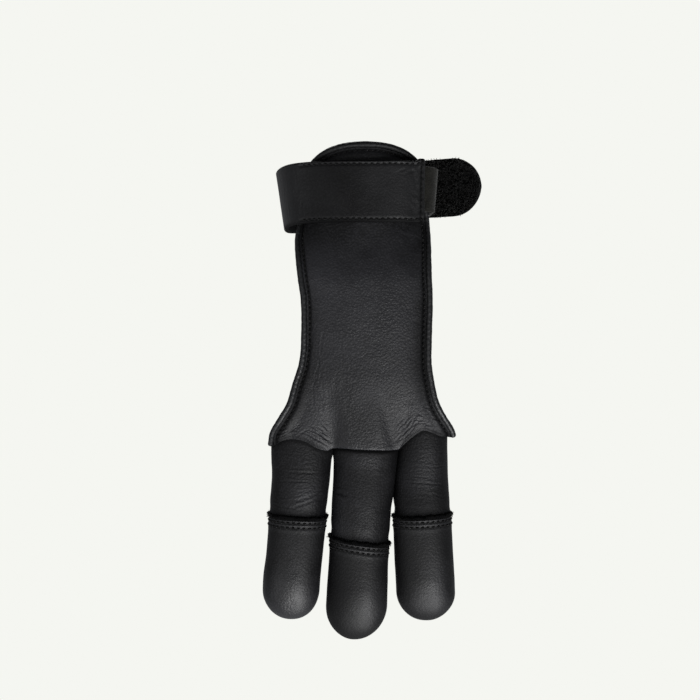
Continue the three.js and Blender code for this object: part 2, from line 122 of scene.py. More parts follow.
# Roundness of the palm: half breadth in palm widths and crown in palm depths, down its length
PALM_ROUND = {
    "at": [0.1, 0.38, 0.7, 0.84, 0.93, 1],
    "half": [0.54, 0.585, 0.65, 0.76, 0.78, 0.78],
    "crown": [0.94, 1.02, 0.975, 0.89, 0.82, 0.77],
}
# Painted light and shade on the panel's leather down its length: painted shade by the strap, painted
# light over the bulge
PANEL_PAINTED_LIGHT = {
    "at": [-0.2, 0.13, 0.19, 0.26, 0.33, 0.45, 0.6, 0.8, 0.95],
    "tone": [-0.45, -0.45, -0.25, 0.25, 0.6, 0.45, 0.16, -0.05, 0.15],
}
# Painted light and shade on the strap's leather along its length in millimetres, from its sewn end
STRAP_PAINTED_LIGHT = {
    "at": [0, 12, 30, 44, 60, 80],
    "tone": [0.15, 0.3, -0.35, -0.25, 1.1, 0.9],
}
# Fingers: at and hem are shares of the length, side, wide and tilt are in finger widths, fore and
# seat are in finger depths towards the palm, and the column after seat is how strongly a painted
# highlight pales the cap's tip
FINGERS = [
    {
        "name": "index", "seed": 3, "width": 24.0, "length": 71.2, "dome": 12.5,
        "hem": 0.393, "tilt": -0.048, "seat": 0.0, "painted_sheen": 1.1,
        "at": [0, 0.18, 0.32, 0.45, 0.61, 0.75, 0.87, 1],
        "side": [0, -0.02, -0.058, -0.082, -0.12, -0.168, -0.182, -0.17],
        "wide": [1.085, 1.02, 1, 1.006, 0.992, 1.01, 1, 1],
        "fore": [0, 0, 0.01, 0.02, 0.05, 0.09, 0.13, 0.17],
    },
    {
        "name": "middle", "seed": 4, "width": 25.0, "length": 79.7, "dome": 14.0,
        "hem": 0.478, "tilt": -0.134, "seat": 0.032, "painted_sheen": 0.15,
        "at": [0, 0.165, 0.32, 0.45, 0.6, 0.74, 0.87, 1],
        "side": [0, -0.034, -0.07, -0.1, -0.122, -0.144, -0.16, -0.177],
        "wide": [1.08, 1.025, 1.003, 0.996, 1, 1.02, 1.022, 1],
        "fore": [0, 0, 0.01, 0.02, 0.04, 0.08, 0.11, 0.15],
    },
    {
        "name": "ring", "seed": 5, "width": 24.0, "length": 72.0, "dome": 12.0,
        "hem": 0.386, "tilt": 0.054, "seat": -0.036, "painted_sheen": 0.45,
        "at": [0, 0.18, 0.35, 0.46, 0.61, 0.77, 0.88, 1],
        "side": [0, -0.02, -0.014, -0.008, 0.008, 0.034, 0.042, 0.03],
        "wide": [0.86, 0.92, 0.99, 1.028, 1.038, 1.036, 1.03, 1.02],
        "fore": [0, 0, 0.01, 0.02, 0.05, 0.09, 0.12, 0.15],
    },
]


def smoothstep(x, low, high):
    t = np.clip((np.asarray(x, float) - low) / (high - low), 0, 1)
    return t * t * (3 - 2 * t)


def fall(x, low, high):
    """One below low, nothing above high, and smooth between."""
    return 1 - smoothstep(x, low, high)


def lerp(a, b, t):
    return a + (b - a) * t


def turns(count):
    """Angles evenly round a circle."""
    return np.linspace(0, 2 * math.pi, count, endpoint=False)


def bell(x, width):
    """Soft hump of height one about zero."""
    return np.exp(-((x / width) ** 2))


def read(table, column, at):
    """Smooth reading of one column of a table, held level past both ends."""
    keys = np.array(table["at"], float)
    values = np.array(table[column], float)
    place = np.clip(np.asarray(at, float), keys[0], keys[-1])
    low = np.clip(np.searchsorted(keys, place, side="right") - 1, 0, len(keys) - 2)
    before = np.maximum(np.arange(len(keys)) - 1, 0)
    after = np.minimum(np.arange(len(keys)) + 1, len(keys) - 1)
    slope = (values[after] - values[before]) / (keys[after] - keys[before])
    span = keys[low + 1] - keys[low]
    t = (place - keys[low]) / span
    t2, t3 = t * t, t * t * t
    return (
        (2 * t3 - 3 * t2 + 1) * values[low]
        + (t3 - 2 * t2 + t) * span * slope[low]
        + (3 * t2 - 2 * t3) * values[low + 1]
        + (t3 - t2) * span * slope[low + 1]
    )


def oblong(share):
    """Share of the full depth that a rounded oblong keeps at a share of its half width."""
    return (1 - np.minimum(np.abs(share), 1) ** OBLONG) ** (1 / OBLONG)


def oblong_turn(angle):
    """Direction from the middle of a rounded oblong, before its half sizes are applied."""
    spread = 2 / OBLONG
    c, s = np.cos(angle), np.sin(angle)
    return np.sign(c) * np.abs(c) ** spread, np.sign(s) * np.abs(s) ** spread


def lattice(ix, iy, iz, seed):
    """Repeatable random values from 0 to 1 at whole-number places."""
    h = (ix * 374761393 + iy * 668265263 + iz * 2147483647 + seed * 1274126177) & 0xFFFFFFFF
    h = ((h ^ (h >> 13)) * 1274126177) & 0xFFFFFFFF
    h = ((h ^ (h >> 16)) * 2246822519) & 0xFFFFFFFF
    return ((h ^ (h >> 15)) & 0xFFFF) / 0xFFFF


def value_noise(points, size, seed):
    """Smooth noise from -1 to 1 whose lumps are about size across."""
    p = np.asarray(points, float) / size
    cell = np.floor(p).astype(np.int64)
    t = p - cell
    t = t * t * (3 - 2 * t)
    total = 0
    for dx in (0, 1):
        for dy in (0, 1):
            for dz in (0, 1):
                weight = (
                    (t[..., 0] if dx else 1 - t[..., 0])
                    * (t[..., 1] if dy else 1 - t[..., 1])
                    * (t[..., 2] if dz else 1 - t[..., 2])
                )
                corner = lattice(cell[..., 0] + dx, cell[..., 1] + dy, cell[..., 2] + dz, seed)
                total = total + weight * corner
    return 2 * total - 1


def fractal(points, size, octaves, seed):
    """Noise with finer and weaker lumps laid over the first ones."""
    layers = [value_noise(points, size / 2**i, seed + i) / 2**i for i in range(octaves)]
    return sum(layers) / sum(1 / 2**i for i in range(octaves))


def unit(v):
    return v / np.maximum(np.linalg.norm(v, axis=-1, keepdims=True), 1e-12)


def distances(points):
    """Length along a line of points, from its start to each of them."""
    step = np.linalg.norm(np.diff(points, axis=0), axis=1)
    return np.concatenate([[0], np.cumsum(step)])


def sample(where, length, values):
    """Values along a line at some lengths."""
    return np.stack([np.interp(where, length, column) for column in values.T], -1)


def laid_flat(across, along):
    """Points of a surface laid flat, for even noise."""
    across, along = np.broadcast_arrays(across, along)
    return np.stack([across, 0 * across, along], -1)


def fold_relief(u, v, folds):
    """Height of many folds, each a groove with a soft ridge along both sides. The columns of a
    fold are its start, its end, its width, its depth and how far it bows."""
    total = np.zeros(np.broadcast(u, v).shape)
    for u0, v0, u1, v1, width, depth, bow in folds:
        length = math.hypot(u1 - u0, v1 - v0)
        cu, cv = (u1 - u0) / length, (v1 - v0) / length
        along = ((u - u0) * cu + (v - v0) * cv) / length
        aside = (v - v0) * cu - (u - u0) * cv + bow * length * (1 - (2 * along - 1) ** 2)
        fade = smoothstep(along, -0.15, 0.25) * fall(along, 0.75, 1.15)
        groove = bell(aside, width)
        ridges = bell(np.abs(aside) - 1.7 * width, width)
        total += depth * fade * (0.55 * ridges - groove)
    return total


FOLD_BOW = (-0.07, 0.07)


def scatter_folds(seed, groups):
    """Short folds strewn about. The columns of a group are the number, the middle and reach across
    and along, the angle and its spread in degrees, and the ranges of length, width and depth."""
    rng = np.random.default_rng(seed)
    folds = []
    for count, middle, reach, angle, spread, length, width, depth in groups:
        for _ in range(count):
            u = middle[0] + reach[0] * rng.uniform(-1, 1)
            v = middle[1] + reach[1] * rng.uniform(-1, 1)
            turn = math.radians(angle + spread * rng.uniform(-1, 1))
            half = rng.uniform(*length) / 2
            du, dv = half * math.cos(turn), half * math.sin(turn)
            wide, deep = rng.uniform(*width), rng.uniform(*depth)
            folds.append((u - du, v - dv, u + du, v + dv, wide, deep, rng.uniform(*FOLD_BOW)))
    return folds


# Meshes


def put_in_scene(name, data):
    thing = bpy.data.objects.new(name, data)
    bpy.context.scene.collection.objects.link(thing)
    return thing


def add_mesh(name, shape, finish, slot, node=None, **attributes):
    """A mesh piece from millimetre points that rides on the part and may stand for a node."""
    points, quads, tris = shape
    mesh = bpy.data.meshes.new(name)
    mesh.from_pydata((points * MM).tolist(), [], quads.tolist() + tris.tolist())
    mesh.polygons.foreach_set("use_smooth", [True] * len(mesh.polygons))
    for label, values in attributes.items():
        layer = mesh.attributes.new(label, "FLOAT", "POINT")
        layer.data.foreach_set("value", np.asarray(values, np.float32).ravel())
    mesh.update()
    mesh.materials.append(MATERIALS[finish])
    piece = put_in_scene(name, mesh)
    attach(piece, ROOT)
    if node:
        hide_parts(node)


def turned_out(points, quads, tris):
    """The same closed body with its faces turned outwards."""
    corners = np.concatenate([quads[:, [0, 1, 2]], quads[:, [0, 2, 3]], tris])
    a, b, c = (points[corners[:, i]] for i in range(3))
    if np.einsum("ij,ij->i", a, np.cross(b, c)).sum() < 0:
        return points, quads[:, ::-1], tris[:, ::-1]
    return points, quads, tris


def loft(rings, looped=False, poles=None):
    """Closed body through rings: looped, between two poles, or with flat strip ends."""
    rings = np.asarray(rings, float)
    rows, count = rings.shape[:2]
    points = rings.reshape(-1, 3)
    near = np.arange(rows if looped else rows - 1)[:, None] * count
    far = (near + count) % (rows * count)
    j = np.arange(count)[None, :]
    k = (j + 1) % count
    quads = np.stack([near + j, near + k, far + k, far + j], -1).reshape(-1, 4)
    tris = np.zeros((0, 3), int)
    last = (rows - 1) * count
    if poles is not None:
        first_pole, last_pole = len(points), len(points) + 1
        points = np.concatenate([points, np.asarray(poles, float)])
        j, k = j.ravel(), k.ravel()
        fan = np.stack([np.full(count, first_pole), k, j], -1)
        other = np.stack([np.full(count, last_pole), last + j, last + k], -1)
        tris = np.concatenate([fan, other])
    elif not looped:
        j = np.arange(count // 2 - 1)
        strip = np.stack([count - 1 - j, count - 2 - j, j + 1, j], -1)
        other = np.stack([j, j + 1, count - 2 - j, count - 1 - j], -1) + last
        quads = np.concatenate([quads, strip, other])
    return turned_out(points, quads, tris)


def merge(shapes):
    """Many closed bodies as one mesh."""
    points, quads, tris, start = [], [], [], 0
    for p, q, t in shapes:
        points.append(p)
        quads.append(q + start)
        tris.append(t + start)
        start += len(p)
    return np.concatenate(points), np.concatenate(quads), np.concatenate(tris)


def strands(paths, radius, sides=5):
    """Thin round threads along many paths of equal length, with rounded ends, as one mesh."""
    paths = np.asarray(paths, float)
    number, steps = paths.shape[:2]
    along = unit(np.gradient(paths, axis=1))
    helper = np.where(np.abs(along[..., 1:2]) < 0.8, [[[0.0, 1.0, 0.0]]], [[[1.0, 0.0, 0.0]]])
    side = unit(np.cross(along, helper))
    over = np.cross(along, side)
    share = np.linspace(-1, 1, steps)
    thick = np.sqrt(np.maximum(1 - np.abs(share) ** 6, 0.12))[None, :, None, None]
    turn = turns(sides)[None, None, :, None]
    radius = np.asarray(radius, float).reshape(-1, 1, 1, 1)
    rings = paths[:, :, None] + radius * thick * (
        np.cos(turn) * side[:, :, None] + np.sin(turn) * over[:, :, None]
    )
    points = rings.reshape(-1, 3)
    base = (np.arange(number) * steps * sides)[:, None, None]
    row = (np.arange(steps - 1) * sides)[None, :, None]
    j = np.arange(sides)[None, None, :]
    k = (j + 1) % sides
    quads = np.stack(np.broadcast_arrays(
        base + row + j, base + row + k, base + row + sides + k, base + row + sides + j
    ), -1).reshape(-1, 4)
    fan = np.arange(1, sides - 1)
    first = np.stack([np.zeros(sides - 2, int), fan + 1, fan], -1)
    last = np.stack([np.zeros(sides - 2, int), fan, fan + 1], -1) + (steps - 1) * sides
    caps = np.concatenate([first, last])[None] + base
    return turned_out(points, quads, caps.reshape(-1, 3))


WALK_STEP = 0.3


def walk(points, pitch):
    """Places and directions every pitch along a line of points."""
    length = distances(points)
    count = max(int(length[-1] / pitch), 2)
    at = (np.arange(count) + 0.5) * length[-1] / count
    step = sample(at + WALK_STEP, length, points) - sample(at - WALK_STEP, length, points)
    return sample(at, length, points), unit(step)


def stitch_paths(points, outs, pitch, length, dip, rise, seed):
    """Paths of stitches along a line: each comes up from its hole and goes back down."""
    rng = np.random.default_rng(seed)
    spots, along = walk(points, pitch)
    lengths = distances(points)
    places = distances(spots)
    places = places + (lengths[-1] - places[-1]) / 2
    out = unit(sample(places, lengths, outs))
    aside = np.cross(along, out)
    share = np.linspace(-1, 1, 7)
    half = length / 2 * rng.uniform(0.92, 1.06, (len(spots), 1, 1))
    yaw = rng.normal(0, 0.06, (len(spots), 1, 1))
    lift = (rise - (rise + dip) * share**4)[None, :, None]
    shift = (share * half[..., 0])[..., None]
    return spots[:, None] + shift * (along[:, None] + yaw * aside[:, None]) + lift * out[:, None]


# Fingers


def set_row():
    """Stands each finger's base beside the one before it and centres the row on its shift."""
    widths = [f["width"] * f["wide"][0] for f in FINGERS]
    place = ROW_SHIFT - (sum(widths) + FINGER_GAP * (len(FINGERS) - 1)) / 2
    for finger, width in zip(FINGERS, widths):
        finger["base"] = place + width / 2
        finger["tip"] = -PALM_LENGTH - finger["length"]
        finger["hem_level"] = -PALM_LENGTH - finger["length"] * finger["hem"]
        place += width + FINGER_GAP


def dome_share(finger, z, inset, length):
    """Share of a finger's half size that is left at a height, for a dome of a given length."""
    depth = np.clip((finger["tip"] + length - z) / (length - inset), 0, 1)
    return np.sqrt(1 - depth**2)


def finger_section(finger, z, inset=0.0):
    """Middle and half sizes of a finger's outer section at a height, with a domed tip."""
    at = (-PALM_LENGTH - z) / finger["length"]
    x = finger["base"] + finger["width"] * read(finger, "side", at)
    y = FINGER_SEAT - FINGER_DEPTH * (finger["seat"] + read(finger, "fore", at))
    half_width = finger["width"] * read(finger, "wide", at) / 2 - inset
    half_width = half_width * dome_share(finger, z, inset, finger["dome"])
    half_depth = FINGER_DEPTH / 2 - inset
    half_depth = half_depth * dome_share(finger, z, inset, finger["dome"] * PAD_TAPER)
    return x, y, half_width, half_depth


def finger_points(finger, z, angle, inset=0.0):
    tx, ty = oblong_turn(angle)
    x, y, half_width, half_depth = finger_section(finger, z, inset)
    return np.stack([x + half_width * tx, y + half_depth * ty, z + 0 * tx], -1)


def finger_normals(points, angle):
    """Normals of a closed grid of points round a finger, facing away from it."""
    down = np.gradient(points, axis=0)
    around = (np.roll(points, -1, axis=1) - np.roll(points, 1, axis=1)) / 2
    normal = unit(np.cross(around, down))
    return normal * np.sign(np.sum(normal[..., 0] * oblong_turn(angle)[0]))


def finger_outward(finger, points, level):
    """Directions of points at a height, away from the finger's middle line."""
    return unit(points - np.stack([*finger_section(finger, level)[:2], level], -1))


def mouth(finger, angle):
    """Height of a cap's mouth round the finger."""
    return finger["hem_level"] + finger["tilt"] * finger["width"] * oblong_turn(angle)[0] / 2


SHOULDER = 0.85
SHOULDER_STEP = 0.01


def sleeve_front(x, z):
    """Foremost sleeve surface, carried on straight past each finger's shoulders."""
    slope = (oblong(SHOULDER - SHOULDER_STEP) - oblong(SHOULDER)) / SHOULDER_STEP
    fronts = []
    for finger in FINGERS:
        middle, y, half_width, half_depth = finger_section(finger, z)
        share = np.abs(x - middle) / half_width
        beyond = np.maximum(share - SHOULDER, 0)
        depth = oblong(np.minimum(share, SHOULDER)) - beyond * slope
        fronts.append(y - half_depth * depth)
    return np.minimum.reduce(fronts)


def soft_min(a, b, width):
    overlap = np.maximum(width - np.abs(a - b), 0) / width
    return np.minimum(a, b) - overlap**2 * width / 4


# Palm panel

WRIST_END = 0.1
PALM_START = 0.36
EDGE_LIFT = 2.3
EDGE_REACH = 6.0
BINDING_REACH = 2.2
PADS_START = 0.5
PADS_END = 0.93
PAD_BLEND = 6.0


def panel_low(across):
    return ARCH_HEIGHT * read(LOWER_EDGE, "rise", across) - PALM_LENGTH


def panel_edges(z):
    """Left and right edge of the panel itself, which stands in from its edging."""
    at = -z / PALM_LENGTH
    below = smoothstep(at, OUTLINE["at"][0], OUTLINE["at"][1])
    left = lerp(TONGUE_WIDTH / 2, PALM_WIDTH * read(OUTLINE, "left", at), below) - PANEL_SEAT
    right = lerp(TONGUE_WIDTH / 2, PALM_WIDTH * read(OUTLINE, "right", at), below) - PANEL_SEAT
    return -left, right


def panel_inner(x, z):
    """Inner face of the panel: the wrist's roundness, then the palm's, over the finger pads."""
    at = -z / PALM_LENGTH
    palm = smoothstep(at, WRIST_END, PALM_START)
    half = lerp(WRIST_WIDTH / 2 + PANEL_SEAT, PALM_WIDTH * read(PALM_ROUND, "half", at), palm)
    crown = lerp(WRIST_DEPTH / 2 + PANEL_SEAT, PALM_DEPTH * read(PALM_ROUND, "crown", at), palm)
    left, right = panel_edges(z)
    inside = np.minimum(x - left, right - x)
    lift = EDGE_LIFT * fall(inside, BINDING_REACH, BINDING_REACH + EDGE_REACH)
    pads = sleeve_front(x, z) - CLEARANCE - lift
    palm_face = -crown * oblong(x / half)
    over_pads = soft_min(palm_face, pads, PAD_BLEND)
    return lerp(palm_face, over_pads, smoothstep(at, PADS_START, PADS_END))


def panel_spot(x, z):
    """Place on the panel's middle surface, with its direction towards the palm side."""
    step = 0.5
    slope_x = (panel_inner(x + step, z) - panel_inner(x - step, z)) / (2 * step)
    slope_z = (panel_inner(x, z + step) - panel_inner(x, z - step)) / (2 * step)
    out = unit(np.stack([slope_x, -np.ones_like(slope_x), slope_z], -1))
    face = np.stack([x, panel_inner(x, z), z], -1)
    return face + out * PANEL_WALL / 2, out


def panel_place(across, up):
    dome = oblong(2 * across - 1)
    z = lerp(panel_low(across), TONGUE_START + TONGUE_HEIGHT * dome, up)
    left, right = panel_edges(z)
    return lerp(left, right, across), z


# The edging's roll, and the sewn groove beside it and its row, measured in from the panel's edge
ROLL = 1.4
GROOVE_AT = 2.3
ROW_AT = 2.25
GROOVE_HALF = 0.75
GROOVE_DEPTH = 0.5

# Spots of painted light and painted shade on the panel: middle, reach across and along it, and gain
PANEL_PAINTED_SPOTS = [(16, -20, 9, 5, 0.45), (24, -93, 10, 7, 0.4), (0, -98, 9, 7, -0.3), (-17, -90, 5, 9, 0.3)]
PANEL_COLUMNS = 172
PANEL_ROWS = 244


def edge_distance(points, line):
    """Shortest distance from each point to a line of points, for places near that line."""
    best = np.full(points.shape[:-1], 1e9)
    for spot in line:
        gap = np.linalg.norm(points - spot, axis=-1)
        best = np.minimum(best, gap)
    return best


# Folds of the palm, along both sewn edges, over the finger arches and in the hollows, in the
# columns of scatter_folds, and single ones in the columns of fold_relief
PANEL_FOLD_GROUPS = [
    (52, (-20, -70), (3.6, 20), 96, 16, (3, 9), (0.28, 0.45), (0.05, 0.12)),
    (10, (-12, -80), (6, 14), 96, 20, (4, 9), (0.5, 0.8), (0.015, 0.04)),
    (12, (20, -72), (4, 16), 84, 16, (3, 8), (0.3, 0.5), (0.02, 0.05)),
    (9, (17, -18.5), (6, 3), -35, 14, (4, 8), (0.35, 0.55), (0.06, 0.13)),
    (5, (-21, -18), (3, 3), 40, 14, (3, 6), (0.35, 0.5), (0.05, 0.1)),
    (26, (-18, -101), (4.5, 4.2), -40, 16, (2, 7), (0.26, 0.42), (0.04, 0.1)),
    (26, (-31, -99.5), (5, 2.6), 24, 18, (2, 6), (0.24, 0.38), (0.04, 0.1)),
    (26, (16.5, -100), (4.5, 5), 50, 16, (2, 7), (0.26, 0.42), (0.05, 0.12)),
    (34, (27, -94), (6.5, 4), -22, 24, (2, 6), (0.24, 0.38), (0.04, 0.1)),
]
PANEL_FOLDS = scatter_folds(21, PANEL_FOLD_GROUPS) + [
    (-12.4, -110, -15.2, -82, 3.0, 0.3, 0.01),
    (12.0, -110, 6.2, -86, 2.4, 0.3, 0.01),
    (-25, -100.6, -14.5, -107.2, 0.32, 0.16, -0.05),
    (-24, -98.9, -13.5, -105.2, 0.34, 0.12, -0.05),
    (-22, -97.6, -13.2, -102.6, 0.36, 0.08, -0.04),
    (13.5, -104.4, 22.5, -95.8, 0.32, 0.12, -0.06),
    (14.5, -102.6, 24, -94.2, 0.34, 0.1, -0.05),
]


def panel_relief(x, z, inside, above, across):
    """Height of the panel's outer face over a smooth sheet."""
    flat = laid_flat(x, z)
    height = 0.3 * fractal(flat, 24, 2, 5) + 0.07 * fractal(flat, 5, 2, 9)
    height += fold_relief(x, z, PANEL_FOLDS)
    soft = smoothstep(np.abs(across - 0.5), 0.19, 0.23)
    ripple = np.cos(2 * math.pi * above / 1.35 + 3.5 * fractal(flat, 5, 2, 41))
    bunch = smoothstep(above, 0.4, 1.4) * fall(above, 3.2, 7.5)
    shoulder = bell(across - 0.17, 0.09) + 1.2 * bell(across - 0.8, 0.1)
    height += 0.035 * ripple * bunch * np.minimum(shoulder, 1)
    groove = bell(inside - GROOVE_AT, GROOVE_HALF)
    height -= GROOVE_DEPTH * groove
    height += 0.06 * bell(inside - GROOVE_AT - 2.0, 1.1)
    tuck = soft * fall(above, 0, 2.6) ** 1.6
    rounding = (1 - soft) * fall(above, 0, 0.7) ** 2
    return height - 0.8 * tuck - 0.35 * rounding, groove


def panel_painted_light(x, z, inside, above, across):
    """Painted light on the panel's leather by its length, painted shade along its borders and finger
    arches, and a painted highlight above its lower edge between the arches.
    """
    tone = read(PANEL_PAINTED_LIGHT, "tone", -z / PALM_LENGTH) + painted_spots(PANEL_PAINTED_SPOTS, x, z)
    tone -= 0.5 * bell(inside - 3.5, 3.0) * smoothstep(-z, 28, 55)
    right = smoothstep(across, 0.5, 0.6) * smoothstep(-z, 8, 25) * fall(-z, 72, 92)
    tone -= 0.6 * right * bell(inside, 7.5)
    arches = smoothstep(np.abs(across - 0.5), 0.2, 0.24)
    tone -= 0.6 * arches * fall(above, 0.5, 3.5)
    return tone + 0.3 * (1 - arches) * fall(above, 0.5, 3.0)


def make_panel():
    s = np.linspace(0, 1, PANEL_COLUMNS)
    columns = lerp(s, (1 - np.cos(math.pi * s)) / 2, 0.45)
    t = np.linspace(0, 1, PANEL_ROWS)
    levels = lerp(t, t * t, 0.5)
    across, up = np.meshgrid(columns, levels)
    x, z = panel_place(across, up)
    middle, out = panel_spot(x, z)
    border = np.concatenate([middle[:, 0], middle[-1, 1:-1], middle[::-1, -1]])
    inside = edge_distance(middle, border[::2])
    above = z - panel_low(across)
    height, groove = panel_relief(x, z, inside, above, across)
    outer = middle + out * (PANEL_WALL / 2 + height)[..., None]
    lowered = np.minimum(0, PANEL_WALL / 2 + height - 0.1)
    inner_depth = PANEL_WALL / 2 + 0.036 * fractal(middle, 3, 2, 77) - lowered
    inner = middle - out * inner_depth[..., None]
    rings = np.concatenate([outer, inner[:, ::-1]], axis=1)
    shade = np.concatenate([0.8 * groove, np.zeros_like(groove)], axis=1)
    tone = panel_painted_light(x, z, inside, above, across)
    wear = np.concatenate([tone, np.zeros_like(z)], axis=1)
    add_mesh(
        "palm_panel_leather", loft(rings), "panel", "panel_leather", "palm_panel",
        shade=shade, wear=wear,
    )


# The edging: points along and round it, half its thickness, and the length of its rounded ends
EDGING_POINTS = 900
EDGING_SIDES = 24
EDGING_HALF = 1.62
EDGING_END = 1.2
# Points of the edging that its sewn row leaves free at both ends
ROW_ENDS = 12


def edging_route():
    """Line of the panel's edge from the left finger arch, over the tongue, to the right one."""
    levels = np.linspace(0, 1, EDGING_POINTS // 3)
    columns = (1 - np.cos(math.pi * levels)) / 2
    parts = [
        panel_place(np.zeros_like(levels), levels),
        panel_place(columns[1:-1], np.ones(len(columns) - 2)),
        panel_place(np.ones_like(levels), levels[::-1]),
    ]
    line = np.concatenate([np.stack(part, -1) for part in parts])
    length = distances(line)
    even = sample(np.linspace(0, length[-1], EDGING_POINTS), length, line)
    return even[:, 0], even[:, 1], length[-1]


def edging_frames():
    """Places on the panel's edge with the directions out of its face and away from it."""
    x, z, length = edging_route()
    middle, out = panel_spot(x, z)
    run = np.gradient(np.stack([x, z], -1), axis=0)
    run = run / np.linalg.norm(run, axis=1, keepdims=True)
    inward = np.stack([run[:, 1], -run[:, 0]], -1)
    near, _ = panel_spot(x + inward[:, 0], z + inward[:, 1])
    aside = middle - near
    aside = unit(aside - out * np.sum(aside * out, -1, keepdims=True))
    for _ in range(3):
        aside[1:-1] = unit(aside[:-2] + 2 * aside[1:-1] + aside[2:])
        out[1:-1] = unit(out[:-2] + 2 * out[1:-1] + out[2:])
    return middle, out, aside, inward, length


def make_edging():
    middle, out, aside, _, length = edging_frames()
    turn = turns(EDGING_SIDES)
    run = np.linspace(0, length, EDGING_POINTS)[:, None]
    ends = np.minimum(run, length - run)
    end_round = np.sqrt(np.clip(1 - (1 - np.clip(ends / EDGING_END, 0, 1)) ** 2, 0.02, 1))
    inner_side = np.clip(-np.cos(turn), 0, 1)[None]
    pull = 0.5 * (1 + np.cos(2 * math.pi * run / STITCH_PITCH))
    tube = np.stack(np.broadcast_arrays(run, 2 * np.cos(turn), 2 * np.sin(turn)), -1)
    rough = 0.09 * fractal(tube, 4, 3, 61) + 0.035 * value_noise(tube, 0.9, 63)
    swell = (1 + rough - 0.09 * pull * inner_side) * end_round
    reach_side = ROLL * swell * np.cos(turn)
    reach_out = (EDGING_HALF + 0.08 * value_noise(tube, 9, 67)) * swell * np.sin(turn)
    rings = middle[:, None] + aside[:, None] * reach_side[..., None]
    rings = rings + out[:, None] * reach_out[..., None]
    # Painted highlight along the roll's inner shoulder, weaker over the tongue, on a roll painted
    # darker, most over the tongue; painted shade on its inner and outer sides
    tongue = smoothstep(middle[:, 2:3], 4, 12)
    wear = (1.15 - 0.85 * tongue) * bell(turn - 1.9, 0.55)[None] - 0.3 - 0.4 * tongue
    outer_side = smoothstep(np.cos(turn), 0.65, 1)[None]
    shade = np.maximum(inner_side**3, 0.5 * outer_side) * np.ones_like(run)
    add_mesh(
        "panel_edging", loft(rings), "edging", "edging_leather", "panel_binding",
        wear=wear, shade=shade,
    )


def make_edging_stitches():
    x, z, _ = edging_route()
    inward = edging_frames()[3]
    spots, out = panel_spot(x + inward[:, 0] * ROW_AT, z + inward[:, 1] * ROW_AT)
    line = spots + out * (PANEL_WALL / 2 - GROOVE_DEPTH + 0.06)
    line, out = line[ROW_ENDS:-ROW_ENDS], out[ROW_ENDS:-ROW_ENDS]
    paths = stitch_paths(line, out, STITCH_PITCH, STITCH_LENGTH, 0.5, 0.2, 71)
    add_mesh("panel_stitching", strands(paths, THREAD), "thread", "edging_leather")


# Finger sleeves and caps

# Points round and down a sleeve, a cap and its raw edge, and the number of frayed hairs
SLEEVE_SIDES = 168
SLEEVE_ROWS = 110
CAP_SIDES = 220
CAP_BODY_ROWS = 64
CAP_DOME_ROWS = 40
CAP_EDGE_SIDES = 300
FRAY_HAIRS = 420
# How far below a cap's mouth its face starts and its two sewn rows run, and their stitches
CAP_TOP = 1.4
ROW_ONE = 2.35
ROW_TWO = 4.3
CAP_PITCH = 2.25
CAP_STITCH = 1.15
# Painted shade over the whole of each sleeve
SLEEVE_PAINTED_SHADE = -0.3
# Spots of painted highlight and painted shade on a sleeve: middle, reach across and along the finger,
# and gain
SLEEVE_PAINTED_SPOTS = {
    "index": [(-25, -127, 6, 5, 0.7)],
    "middle": [(-0.5, -113, 8, 3.5, 0.6), (0.5, -138, 7, 9, 0.45), (-12, -138, 4, 12, 0.6)],
    "ring": [(26, -117, 8, 9, 0.4), (25, -131, 9, 5, -0.55)],
}
# Painted shade over the whole of each cap, which its painted highlights lift
CAP_TONE = -0.6
# Spots of painted highlight and painted shade on a cap, in the same columns
CAP_PAINTED_SPOTS = {
    "index": [(-30, -157, 6, 8, 0.45), (-28, -172, 7, 7, -0.25)],
    "middle": [(2.5, -171, 5, 11, 0.5), (-11, -170, 6, 18, -0.5), (-3, -186, 12, 4, -0.6)],
    "ring": [(30, -162, 5, 11, 0.6), (16, -166, 5, 16, -0.35), (24, -178, 12, 4, -0.6)],
}


def painted_spots(spots, x, z):
    """Sum of soft spots of painted light and painted shade on a surface."""
    tone = 0 * x
    for middle_x, middle_z, reach_x, reach_z, gain in spots:
        apart = ((x - middle_x) / reach_x) ** 2 + ((z - middle_z) / reach_z) ** 2
        tone = tone + gain * np.exp(-apart)
    return tone


def hem_over(finger, angle):
    """Height of the panel's lower edge where it passes over a finger."""
    x, _, half_width, _ = finger_section(finger, -PALM_LENGTH)
    left, right = panel_edges(-PALM_LENGTH)
    return panel_low((x + half_width * oblong_turn(angle)[0] - left) / (right - left))


def sleeve_rim(finger, angle):
    """Height of a sleeve's top: tucked under the panel in front, raised behind."""
    behind = (1 + oblong_turn(angle)[1]) / 2
    return lerp(hem_over(finger, angle) + SLEEVE_TUCK, KNUCKLE_RISE - PALM_LENGTH, behind)


